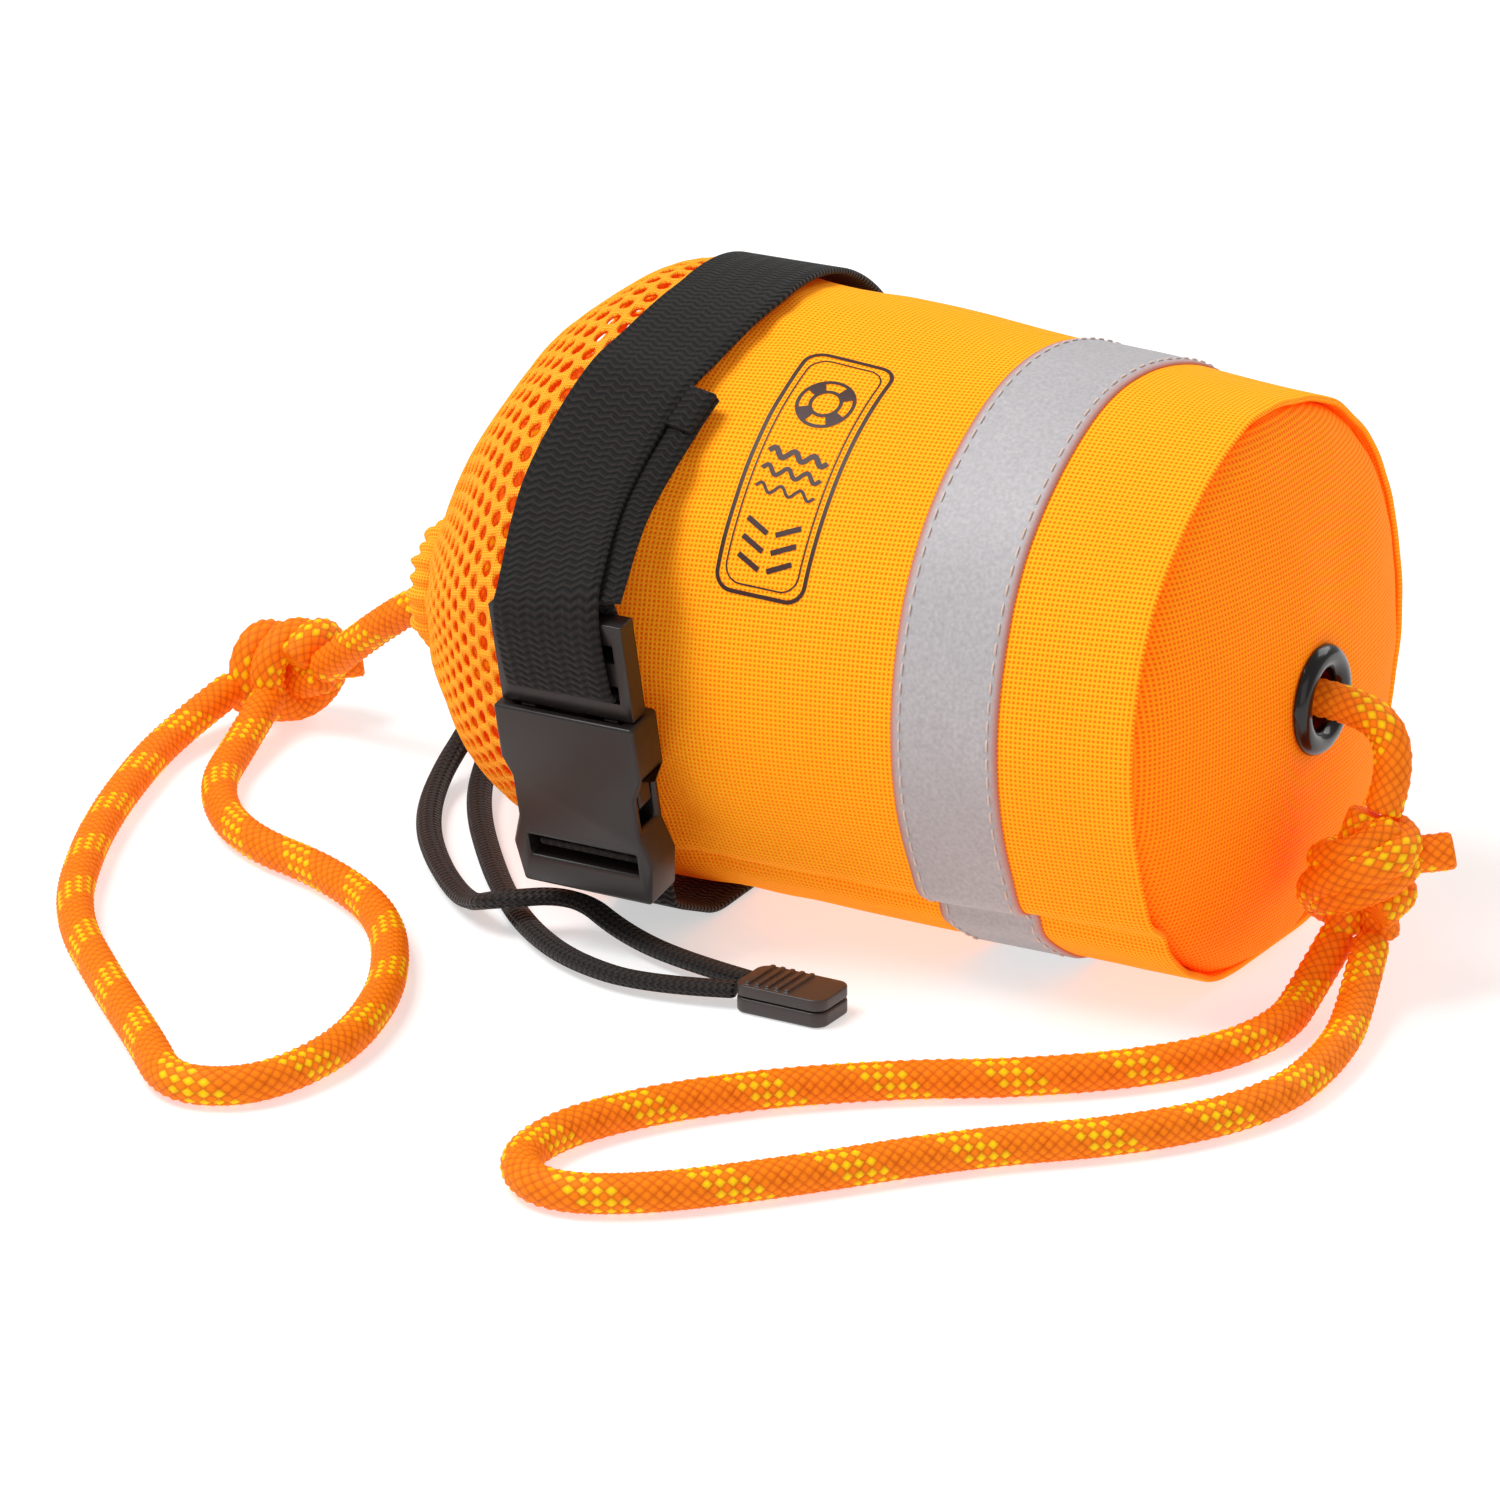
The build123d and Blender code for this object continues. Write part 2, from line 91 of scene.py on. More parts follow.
class BagSettings(bpy.types.PropertyGroup):
    """Sizes and colours of the bag that a user would change."""

    rope_width: bpy.props.FloatProperty(
        name="Rope width", description="Diameter of the throw rope", default=0.008, unit="LENGTH"
    )
    plait_pitch: bpy.props.FloatProperty(
        name="Plait pitch", description="Length of one turn of a rope strand", default=0.026, unit="LENGTH"
    )
    cord_width: bpy.props.FloatProperty(
        name="Drawcord width", description="Width of the flat drawcord", default=0.005, unit="LENGTH"
    )
    webbing_width: bpy.props.FloatProperty(
        name="Webbing width", description="Width of the belt webbing", default=0.026, unit="LENGTH"
    )
    weave: bpy.props.FloatProperty(
        name="Weave", description="Spacing of the fabric's threads", default=0.00105, unit="LENGTH"
    )
    holes_round: bpy.props.IntProperty(
        name="Holes round", description="Holes in one round of the mesh collar", default=74
    )
    hole_rows: bpy.props.IntProperty(
        name="Hole rows", description="Rounds of holes from the fabric to the mouth", default=21
    )
    fabric_colour: bpy.props.FloatVectorProperty(
        name="Fabric", description="Colour of the body's fabric", default=linear("#FFC624"), **SWATCH
    )
    # The base panel is the body's own fabric; its deeper colour is painted shade.
    base_shade_colour: bpy.props.FloatVectorProperty(
        name="Base panel", description="Colour of the base panel", default=linear("#FFA810"), **SWATCH
    )
    mesh_colour: bpy.props.FloatVectorProperty(
        name="Mesh", description="Colour of the mesh collar and hem", default=linear("#FFC63A"), **SWATCH
    )
    rope_colour: bpy.props.FloatVectorProperty(
        name="Rope", description="Colour of the rope's plain strands", default=linear("#FF8C0C"), **SWATCH
    )
    tracer_colour: bpy.props.FloatVectorProperty(
        name="Tracer", description="Colour of the rope's tracer strands", default=linear("#FFDC0C"), **SWATCH
    )
    webbing_colour: bpy.props.FloatVectorProperty(
        name="Webbing", description="Colour of the webbing's ribs", default=linear("#231E1B"), **SWATCH
    )
    plastic_colour: bpy.props.FloatVectorProperty(
        name="Plastic", description="Colour of the buckle and cord lock", default=linear("#181210"), **SWATCH
    )
    tape_colour: bpy.props.FloatVectorProperty(
        name="Tape", description="Lightest grey of the reflective tape", default=linear("#CBC8CA"), **SWATCH
    )


# ---------------------------------------------------------------- shared tools


def select_only(piece):
    """Make one object the only selected and active one."""
    bpy.ops.object.select_all(action="DESELECT")
    piece.select_set(True)
    bpy.context.view_layer.objects.active = piece


def linked(name, data):
    """A new object in the scene that holds a mesh, curve, light or camera."""
    piece = bpy.data.objects.new(name, data)
    bpy.context.collection.objects.link(piece)
    return piece


def place(piece, material, slot, *nodes, body=ROOT):
    """Give a finished piece its material and body, and hide the frame nodes it stands for; slot is not used.
    """
    piece.data.materials.clear()
    piece.data.materials.append(material)
    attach(piece, body)
    if nodes:
        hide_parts(*nodes)
    return piece


def apply_modifier(piece, kind, **settings):
    """Add a modifier with its settings and apply it."""
    select_only(piece)
    modifier = piece.modifiers.new(kind.title(), kind)
    for key, value in settings.items():
        setattr(modifier, key, value)
    bpy.ops.object.modifier_apply(modifier=modifier.name)


def merge_doubles(piece, gap=0.00001):
    """Merge vertices that lie within a gap in metres."""
    select_only(piece)
    bpy.ops.object.mode_set(mode="EDIT")
    bpy.ops.mesh.select_all(action="SELECT")
    bpy.ops.mesh.remove_doubles(threshold=gap)
    bpy.ops.object.mode_set(mode="OBJECT")


def face_outwards(piece):
    """Turn every face outwards and shade the piece smooth."""
    select_only(piece)
    bpy.ops.object.mode_set(mode="EDIT")
    bpy.ops.mesh.select_all(action="SELECT")
    bpy.ops.mesh.normals_make_consistent(inside=False)
    bpy.ops.object.mode_set(mode="OBJECT")
    bpy.ops.object.shade_smooth()


def face_away(piece, inner):
    """Turn an open skin's faces away from a point inside it, in millimetres, and shade it smooth."""
    heart = Vector(inner) * MM
    if sum(face.normal.dot(face.center - heart) * face.area for face in piece.data.polygons) < 0:
        piece.data.flip_normals()
    select_only(piece)
    bpy.ops.object.shade_smooth()


def skin(name, rows, uv_rows, closed=False, caps=False, inner=None):
    """A mesh over rows of points in millimetres, with a UV in metres for each point.

    In closed rows the last column meets the first, and each UV row has one more entry than its points."""
    width = len(rows[0])
    points = [Vector(p) * MM for row in rows for p in row]
    faces, uvs = [], []
    columns = width if closed else width - 1
    for i in range(len(rows) - 1):
        for j in range(columns):
            k = (j + 1) % width
            faces.append((i * width + j, i * width + k, (i + 1) * width + k, (i + 1) * width + j))
            uvs += [uv_rows[i][j], uv_rows[i][j + 1], uv_rows[i + 1][j + 1], uv_rows[i + 1][j]]
    if caps:
        for i, turn in ((0, -1), (len(rows) - 1, 1)):
            faces.append([i * width + j for j in range(width)][::turn])
            uvs += uv_rows[i][:width][::turn]
    mesh = bpy.data.meshes.new(name)
    mesh.from_pydata(points, [], faces)
    layer = mesh.uv_layers.new(name="surface")
    for loop, uv in zip(layer.data, uvs):
        loop.uv = uv
    piece = linked(name, mesh)
    if inner:
        face_away(piece, inner)
    else:
        face_outwards(piece)
    return piece


def join(pieces, name):
    """Join pieces into one named object."""
    select_only(pieces[0])
    for piece in pieces:
        piece.select_set(True)
    bpy.ops.object.join()
    pieces[0].name = name
    return pieces[0]


def length_of(line):
    """Length of a line, in its own units."""
    return sum((b - a).length for a, b in zip(line, line[1:]))


def heading(line, i):
    """Direction of a line at one of its points."""
    return (line[min(i + 1, len(line) - 1)] - line[max(i - 1, 0)]).normalized()


def centreline(points, step):
    """Evenly spaced points, in millimetres, along the smooth spline that a route's points control."""
    curve = bpy.data.curves.new("route", "CURVE")
    curve.dimensions = "3D"
    spline = curve.splines.new("NURBS")
    spline.points.add(len(points) - 1)
    for knot, point in zip(spline.points, points):
        knot.co = (*point, 1)
    spline.order_u = 3
    spline.use_endpoint_u = True
    spline.resolution_u = 24
    holder = linked("route", curve)
    bpy.context.view_layer.update()
    mesh = bpy.data.meshes.new_from_object(holder.evaluated_get(bpy.context.evaluated_depsgraph_get()))
    line = [v.co.copy() for v in mesh.vertices]
    bpy.data.objects.remove(holder)
    bpy.data.meshes.remove(mesh)
    bpy.data.curves.remove(curve)
    whole = length_of(line)
    count = max(2, round(whole / step))
    even, walked, k = [line[0]], 0.0, 0
    for i in range(1, count):
        goal = whole * i / count
        while walked + (line[k + 1] - line[k]).length < goal:
            walked += (line[k + 1] - line[k]).length
            k += 1
        part = (goal - walked) / (line[k + 1] - line[k]).length
        even.append(line[k].lerp(line[k + 1], part))
    return even + [line[-1]]


def carried_frames(line, side=None):
    """A side and a top for each point of a line, turned no more than the line needs."""
    frames = []
    for i in range(len(line)):
        tangent = heading(line, i)
        if side is None:
            side = tangent.cross(Vector((0, 0, 1)))
            if side.length < 0.1:
                side = tangent.cross(Vector((0, 1, 0)))
        side = (side - tangent * side.dot(tangent)).normalized()
        frames.append((side, side.cross(tangent)))
    return frames


def level_frames(line):
    """A level side and an upright top for each point of a line that lies flat."""
    headings = [heading(line, i) for i in range(len(line))]
    sides = [tangent.cross(Vector((0, 0, 1))).normalized() for tangent in headings]
    return [(side, side.cross(tangent)) for side, tangent in zip(sides, headings)]


def oval(out, up):
    """A plain oval section, half its width and half its height given."""
    return lambda share, walked: (out * math.cos(math.tau * share), up * math.sin(math.tau * share))


def sweep_section(name, line, section, around, frames=None):
    """A closed tube along a line, its two ends drawn in a little.

    section gives out and up distances for a share of a turn and a walked length."""
    drawn_in = 0.82
    frames = frames or carried_frames(line)
    rows, uv_rows, walked = [], [], 0.0
    for i, (point, (side, top)) in enumerate(zip(line, frames)):
        if i:
            walked += (point - line[i - 1]).length
        spots = [section(j / around, walked) for j in range(around)]
        rows.append([point + side * out + top * up for out, up in spots])
        uv_rows.append([(j / around, walked * MM) for j in range(around + 1)])
    for i in (0, -1):
        rows[i] = [line[i] + (p - line[i]) * drawn_in for p in rows[i]]
    return skin(name, rows, uv_rows, closed=True, caps=True)


# ---------------------------------------------------------------- materials


def wire(tree, kind, inputs=None, **settings):
    """Add a node with its settings, its input values and its links."""
    node = tree.nodes.new(kind)
    for key, value in settings.items():
        setattr(node, key, value)
    for key, value in (inputs or {}).items():
        if isinstance(value, bpy.types.NodeSocket):
            tree.links.new(value, node.inputs[key])
        else:
            node.inputs[key].default_value = value
    return node


def blank_material(name, **values):
    """A material with one Principled shader, and its node tree and shader."""
    material = bpy.data.materials.new(name)
    material.use_nodes = True
    tree = material.node_tree
    shader = tree.nodes["Principled BSDF"]
    for key, value in values.items():
        shader.inputs[key.replace("_", " ")].default_value = value
    return material, tree, shader


def chain(tree, start, *steps, clamp=False):
    """Pass a socket through a row of maths steps, each an operation and its values or sockets."""
    socket = start
    for operation, *values in steps:
        inputs = {0: socket, **dict(enumerate(values, 1))}
        socket = wire(tree, "ShaderNodeMath", inputs, operation=operation).outputs[0]
    socket.node.use_clamp = clamp
    return socket


def surface_uv(tree, scale_u, scale_v):
    """The piece's own UV, in metres, scaled, as separate sockets."""
    uv = wire(tree, "ShaderNodeUVMap", uv_map="surface")
    scale = {0: uv.outputs[0], 1: (scale_u, scale_v, 0)}
    scaled = wire(tree, "ShaderNodeVectorMath", scale, operation="MULTIPLY")
    split = wire(tree, "ShaderNodeSeparateXYZ", {0: scaled.outputs[0]})
    return split.outputs[0], split.outputs[1]


def clouds(tree, *scales):
    """Noise over the piece for each (scale, detail), as sockets from 0 to 1."""
    spot = wire(tree, "ShaderNodeTexCoord").outputs["Object"]
    kind = "ShaderNodeTexNoise"
    return [wire(tree, kind, {"Vector": spot, "Scale": s, "Detail": d}).outputs["Fac"] for s, d in scales]


def mix_colours(tree, share, first, second):
    """Blend two colours or sockets by a share."""
    return wire(tree, "ShaderNodeMix", {0: share, 6: first, 7: second}, data_type="RGBA").outputs[2]


def coat(tree, shader, height, strength, depth, colour=None):
    """Give a shader its relief, with a strength and a depth in metres, and its colour pattern."""
    bump = wire(tree, "ShaderNodeBump", {"Strength": strength, "Distance": depth, "Height": height})
    tree.links.new(bump.outputs[0], shader.inputs["Normal"])
    if colour:
        tree.links.new(colour, shader.inputs["Base Color"])


def woven_polyester(name, light, shades, thread):
    """Plain-weave polyester dyed fluorescent: matt, with a thread grid, painted shade in its pits, and a
    painted glow that keeps its colour hot in shade.

    shades are the dye's deeper parts, the painted shade in the pits between the threads, and a painted glow.
    The threads are about twice as coarse as real ones, so that they show."""
    deep, pit_shade, painted_glow = (linear(shade) for shade in shades)
    # The emission is a painted glow: a red-orange that keeps shaded parts saturated.
    material, tree, shader = blank_material(
        name, Roughness=0.75, Specular_IOR_Level=0.1, Emission_Color=painted_glow, Emission_Strength=0.2
    )
    u, v = surface_uv(tree, math.pi / thread, math.pi / thread)
    warp = chain(tree, u, ("SINE",), ("ABSOLUTE",))
    weft = chain(tree, v, ("SINE",), ("ABSOLUTE",))
    grid = chain(tree, warp, ("MAXIMUM", weft), ("POWER", 1.5))
    # Painted shade: the pits between threads are darkened towards the pit colour.
    pits = chain(tree, grid, ("SUBTRACT", 1.0), ("MULTIPLY", -1.15), clamp=True)
    (cloud,) = clouds(tree, (28.0, 3.0))
    dye = mix_colours(tree, chain(tree, cloud, ("MULTIPLY", 0.35)), light, deep)
    coat(tree, shader, grid, 0.6, 0.0004, mix_colours(tree, pits, dye, pit_shade))
    return material


def braided_rope(name, plain, tracer, painted_glow, pitch):
    """Twenty-plait polypropylene braid: matt strands, with a tracer of four in the ten that turn one way,
    painted shade in the crevices between strands, and a painted glow.
    """
    # The emission is a painted glow that keeps shaded strands orange.
    material, tree, shader = blank_material(
        name, Roughness=0.6, Specular_IOR_Level=0.15, Emission_Color=linear(painted_glow), Emission_Strength=0.16
    )
    around, along = surface_uv(tree, PLAITS, PLAITS / pitch)
    first = chain(tree, around, ("ADD", along))
    second = chain(tree, around, ("SUBTRACT", along))
    strand = chain(tree, first, ("FLOOR",))
    other = chain(tree, second, ("FLOOR",))
    on_top = chain(tree, strand, ("ADD", other), ("FLOORED_MODULO", 2.0), ("GREATER_THAN", 0.5))
    traced = chain(tree, strand, ("ADD", 0.5), ("FLOORED_MODULO", PLAITS), ("LESS_THAN", 4.0))
    hump = (("FRACT",), ("MULTIPLY", math.pi), ("SINE",))
    height = chain(tree, chain(tree, first, *hump), ("MULTIPLY", chain(tree, second, *hump)), ("POWER", 0.6))
    lines = wire(tree, "ShaderNodeCombineXYZ", {0: chain(tree, first, ("ADD", second)), 1: on_top})
    fibres = wire(tree, "ShaderNodeTexWave", {"Vector": lines.outputs[0], "Scale": 1.0}, bands_direction="X")
    colour = mix_colours(tree, chain(tree, on_top, ("MULTIPLY", traced)), plain, tracer)
    # Painted shade: the crevices between strands are darkened towards #B45008.
    gap = chain(tree, height, ("SUBTRACT", 1.0), ("MULTIPLY", -0.75))
    shaded = mix_colours(tree, gap, colour, linear("#B45008"))
    coat(tree, shader, fibres.outputs["Fac"], 0.25, 0.0002, shaded)
    return material


def ribbed_webbing(name, groove_shade, light, rib, zigzag_width):
    """Polypropylene belt webbing: black, slightly glossy yarns in herringbone ribs across its width, with
    painted shade in the grooves between ribs.
    """
    material, tree, shader = blank_material(
        name, Roughness=0.7, Sheen_Weight=0.06, Sheen_Roughness=0.4, Specular_IOR_Level=0.25
    )
    u, v = surface_uv(tree, 1 / zigzag_width, 1 / rib)
    zigzag = chain(tree, u, ("PINGPONG", 0.5), ("MULTIPLY", 1.1))
    rows = chain(tree, v, ("ADD", zigzag), ("MULTIPLY", math.tau), ("SINE",), ("MULTIPLY_ADD", 0.5, 0.5))
    columns = chain(tree, u, ("MULTIPLY", 2 * math.tau), ("SINE",), ("MULTIPLY_ADD", 0.2, 0.2))
    height = chain(tree, rows, ("ADD", columns))
    # Painted shade: the grooves between ribs take the darker colour.
    coat(tree, shader, height, 0.8, 0.0005, mix_colours(tree, rows, groove_shade, light))
    return material


def moulded_plastic(name, colour, rough):
    """Moulded acetal or nylon: satin, with the faint texture that a spark-eroded mould leaves."""
    material, tree, shader = blank_material(name, Roughness=rough, Specular_IOR_Level=0.5)
    grain, mottle = clouds(tree, (2200.0, 2.0), (90.0, 2.0))
    tint = mix_colours(tree, chain(tree, mottle, ("MULTIPLY", 0.25)), colour, linear("#332E2C"))
    coat(tree, shader, grain, 0.12, 0.0001, tint)
    return material


def glossy_enamel(name, colour):
    """Lacquered brass, stamped: a hard gloss with a little orange-peel."""
    material, tree, shader = blank_material(
        name, Base_Color=colour, Roughness=0.2, Coat_Weight=0.25, Coat_Roughness=0.06, Specular_IOR_Level=0.35
    )
    (peel,) = clouds(tree, (600.0, 2.0))
    coat(tree, shader, peel, 0.04, 0.0002)
    return material


def glass_bead_tape(name, light):
    """Retroreflective tape: a grey bead coat on cloth, flat-lit and faintly speckled, pink at its edges."""
    material, tree, shader = blank_material(name, Roughness=0.6, Metallic=0.08, Specular_IOR_Level=0.4)
    speck, cloud = clouds(tree, (1100.0, 1.0), (60.0, 2.0))
    grey = mix_colours(tree, speck, linear("#A39FA2"), light)
    worn = mix_colours(tree, chain(tree, cloud, ("MULTIPLY", 0.3)), grey, linear("#A09A9E"))
    across, along = surface_uv(tree, 1.0, 1.0)
    off_middle = chain(tree, across, ("SUBTRACT", 0.0125), ("ABSOLUTE",))
    edge = chain(tree, off_middle, ("SUBTRACT", 0.0108), ("MULTIPLY", 700.0), clamp=True)
    coat(tree, shader, speck, 0.2, 0.0001, mix_colours(tree, edge, worn, linear("#C98A80")))
    return material


def soft_surface(name, colour, deep, rough, scale, metallic=0.0):
    """Foam, thread, ink or spring wire: mottled and slightly pitted, matt unless it is metal."""
    material, tree, shader = blank_material(name, Roughness=rough, Metallic=metallic)
    (pits,) = clouds(tree, (scale, 3.0))
    coat(tree, shader, pits, 0.3, 0.0002, mix_colours(tree, pits, linear(colour), linear(deep)))
    return material


def flat_braid(name, rib):
    """Polyester drawcord: black yarns plaited in chevrons over lengthwise ribs, with painted shade in the
    chevrons' troughs.
    """
    material, tree, shader = blank_material(
        name, Roughness=0.6, Sheen_Weight=0.1, Sheen_Roughness=0.4, Specular_IOR_Level=0.3
    )
    around, along = surface_uv(tree, 10.0, 1 / rib)
    chevron = chain(tree, around, ("PINGPONG", 0.5), ("ADD", along), ("MULTIPLY", math.tau), ("SINE",))
    share = chain(tree, chevron, ("MULTIPLY_ADD", 0.5, 0.5))
    # Painted shade: the chevrons' troughs take the darker #0B0908.
    coat(tree, shader, chevron, 0.6, 0.0003, mix_colours(tree, share, linear("#0B0908"), linear("#2A2523")))
    return material


FINISHES = {}


def make_finishes():
    """Make each material once, before the first piece."""
    bag = bpy.context.scene.throw_bag
    # Each shade list gives a deeper dye tone, the painted shade in the thread pits, and a painted glow.
    body_shades = ("#FFA404", "#FF6E00", "#FF3400")
    # The base panel's deeper shades are painted shade on the same fabric as the body.
    base_shades = ("#FF8A04", "#FF5A00", "#FF2E00")
    mesh_shades = ("#FFA41A", "#FF7A04", "#FF3C00")
    FINISHES.update(
        fabric=woven_polyester("woven_polyester", bag.fabric_colour, body_shades, bag.weave),
        end=woven_polyester("woven_polyester_painted_shade", bag.base_shade_colour, base_shades, bag.weave),
        mesh=woven_polyester("knitted_polyester", bag.mesh_colour, mesh_shades, 0.0006),
        # FF4C00 is the rope's painted glow.
        rope=braided_rope(
            "braided_polypropylene", bag.rope_colour, bag.tracer_colour, "#FF4C00", bag.plait_pitch
        ),
        # 080606 is the painted shade in the webbing's grooves.
        webbing=ribbed_webbing("ribbed_webbing", linear("#080606"), bag.webbing_colour, 0.0017, 0.0043),
        plastic=moulded_plastic("moulded_acetal", bag.plastic_colour, 0.38),
        cord_end=moulded_plastic("moulded_nylon", linear("#3A3230"), 0.42),
        enamel=glossy_enamel("lacquered_brass", linear("#120C0A")),
        tape=glass_bead_tape("glass_bead_tape", bag.tape_colour),
        cord=flat_braid("flat_polyester_braid", 0.0016),
        foam=soft_surface("closed_cell_foam", "#F2F0EA", "#D8D5CC", 0.9, 700.0),
        binding=soft_surface("woven_binding", "#1A1817", "#2E2A28", 0.8, 900.0),
        thread=soft_surface("sewing_thread", "#E9DAD2", "#C9A79A", 0.6, 900.0),
        ink=soft_surface("screen_ink", "#42180E", "#2C1008", 0.55, 600.0),
        wire=soft_surface("spring_wire", "#B9B9BA", "#8E8E90", 0.3, 500.0, 1.0),
    )


# ---------------------------------------------------------------- the bag's surface


def soft_floor(z, floor, ease=3.0):
    """Hold a height above a floor, easing into it."""
    near = max(ease - abs(z - floor), 0) / ease
    return max(z, floor) + near * near * ease / 4


def body_radius(x):
    """Radius of the tapered body at a place along the bag."""
    return MOUTH_R - (x - MOUTH_X) * (MOUTH_R - BASE_R) / (BASE_X - MOUTH_X)


def fold_depth(x, angle):
    """Creases that the stuffed fabric takes low on its front, and ripples beside its seams."""
    along = (x - MOUTH_X) / (BASE_X - MOUTH_X)
    turn = math.radians(angle)
    round_bag = Vector((0, math.cos(turn), math.sin(turn)))
    middle = -48 + 8 * along
    deepest = 0.45 + 0.55 * math.sin(math.pi * along) ** 0.5
    fold = -2.8 * math.exp(-(((angle - middle) / 3.4) ** 2)) * deepest
    lip = 1.1 * math.exp(-(((angle - middle - 7) / 5) ** 2))
    near_base = max(0.0, 1 - (BASE_X - x) / 14)
    near_strap = max(0.0, 1 - abs(x + 30) / 14)
    ripple = 0.6 * near_base * math.sin(turn * 19) * noise.noise(round_bag * 3)
    pucker = 1.3 * near_strap * noise.noise(round_bag * 7 + Vector((x / 16, 0, 0)))
    swell = 1.1 * noise.noise(round_bag * 1.9 + Vector((x / 40, 0, 0)))
    seam = -0.7 * max(0.0, 1 - (BASE_X - x) / 1.5) ** 2
    cinch = -1.2 * math.exp(-(((x + 32) / 6) ** 2)) * max(0.0, math.cos(turn))
    return fold + lip + ripple + pucker + swell + seam + cinch


def bag_point(x, angle, out=0.0, folds=1.0):
    """A point on the bag: place along it, degrees up from the front, and distance off the fabric."""
    radius = body_radius(x) + out + folds * fold_depth(x, angle)
    turn = math.radians(angle)
    z = body_radius(x) - SINK + radius * math.sin(turn)
    return Vector((x, -radius * math.cos(turn), soft_floor(z, max(BED - out, 0.1))))


def bag_patch(name, columns, rows, out, thickness, folds=1.0):
    """A closed round panel of the bag, columns counting round it and rows the places along it."""
    grid, uvs = [], []
    for x in rows:
        round_mm = math.tau * body_radius(x)
        offset = out(x) if callable(out) else out
        grid.append([bag_point(x, -180 + 360 * j / columns, offset, folds) for j in range(columns)])
        uvs.append([((x - rows[0]) * MM, round_mm * j / columns * MM) for j in range(columns + 1)])
    piece = skin(name, grid, uvs, closed=True, inner=(rows[len(rows) // 2], 0, 60))
    apply_modifier(piece, "SOLIDIFY", thickness=thickness * MM, offset=-1, use_even_offset=False)
    return piece


def strip(name, line, tops, width, sides=None):
    """Webbing with rounded edges along a line, its tops pointing off its upper face."""
    half, depth, edge, across = width / 2, WEB_THICK / 2, 0.35, 7
    outline = [(-half + edge, depth), (half - edge, depth), (half, 0.25 * depth), (half, -0.25 * depth)]
    outline += [(half - edge, -depth), (-half + edge, -depth), (-half, -0.25 * depth), (-half, 0.25 * depth)]
    flat = width - 2 * edge
    top_run = [(-half + edge + flat * k / across, depth) for k in range(across)]
    low_run = [(half - edge - flat * k / across, -depth) for k in range(across)]
    loop = top_run + outline[1:4] + low_run + outline[5:8]
    rows, uv_rows, walked = [], [], 0.0
    for i, point in enumerate(line):
        if i:
            walked += (point - line[i - 1]).length
        side = sides[i] if sides else heading(line, i).cross(tops[i]).normalized()
        rows.append([point + side * u + tops[i] * w for u, w in loop])
        uv_rows.append([(u * MM, walked * MM) for u, w in loop + loop[:1]])
    return skin(name, rows, uv_rows, closed=True, caps=True)


def dashes(name, places, width, radius):
    """Short thread stitches, each lying from one point to the next with a top direction."""
    points, faces = [], []
    for start, end, top in places:
        along = (end - start).normalized()
        side = along.cross(top).normalized()
        first = len(points)
        for share, swell in ((0, 0.45), (0.2, 1.0), (0.8, 1.0), (1, 0.45)):
            middle = start.lerp(end, share) + top * radius * (0.9 if 0.1 < share < 0.9 else -0.2)
            for k in range(6):
                turn = k * math.pi / 3
                offset = side * math.cos(turn) * width + top * math.sin(turn) * radius
                points.append((middle + offset * swell) * MM)
        for ring in range(3):
            for k in range(6):
                a, b = first + ring * 6 + k, first + ring * 6 + (k + 1) % 6
                faces.append((a, b, b + 6, a + 6))
        faces += [tuple(first + k for k in range(6))[::-1], tuple(first + 18 + k for k in range(6))]
    mesh = bpy.data.meshes.new(name)
    mesh.from_pydata(points, [], faces)
    piece = linked(name, mesh)
    face_outwards(piece)
    return piece


def rounded_copy(node, bevel, name):
    """A frame node's shape with its doubles merged and its edges rounded."""
    piece = bpy.data.objects[node].copy()
    piece.data = bpy.data.objects[node].data.copy()
    piece.name = name
    bpy.context.collection.objects.link(piece)
    piece.parent = None
    merge_doubles(piece)
    bpy.ops.object.mode_set(mode="EDIT")
    bpy.ops.mesh.select_all(action="SELECT")
    bpy.ops.mesh.dissolve_limited(angle_limit=math.radians(1.5))
    bpy.ops.object.mode_set(mode="OBJECT")
    sharp = math.radians(40)
    apply_modifier(piece, "BEVEL", width=bevel * MM, segments=3, limit_method="ANGLE", angle_limit=sharp)
    select_only(piece)
    bpy.ops.object.shade_smooth_by_angle(angle=sharp)
    return piece


# ---------------------------------------------------------------- stage and cords


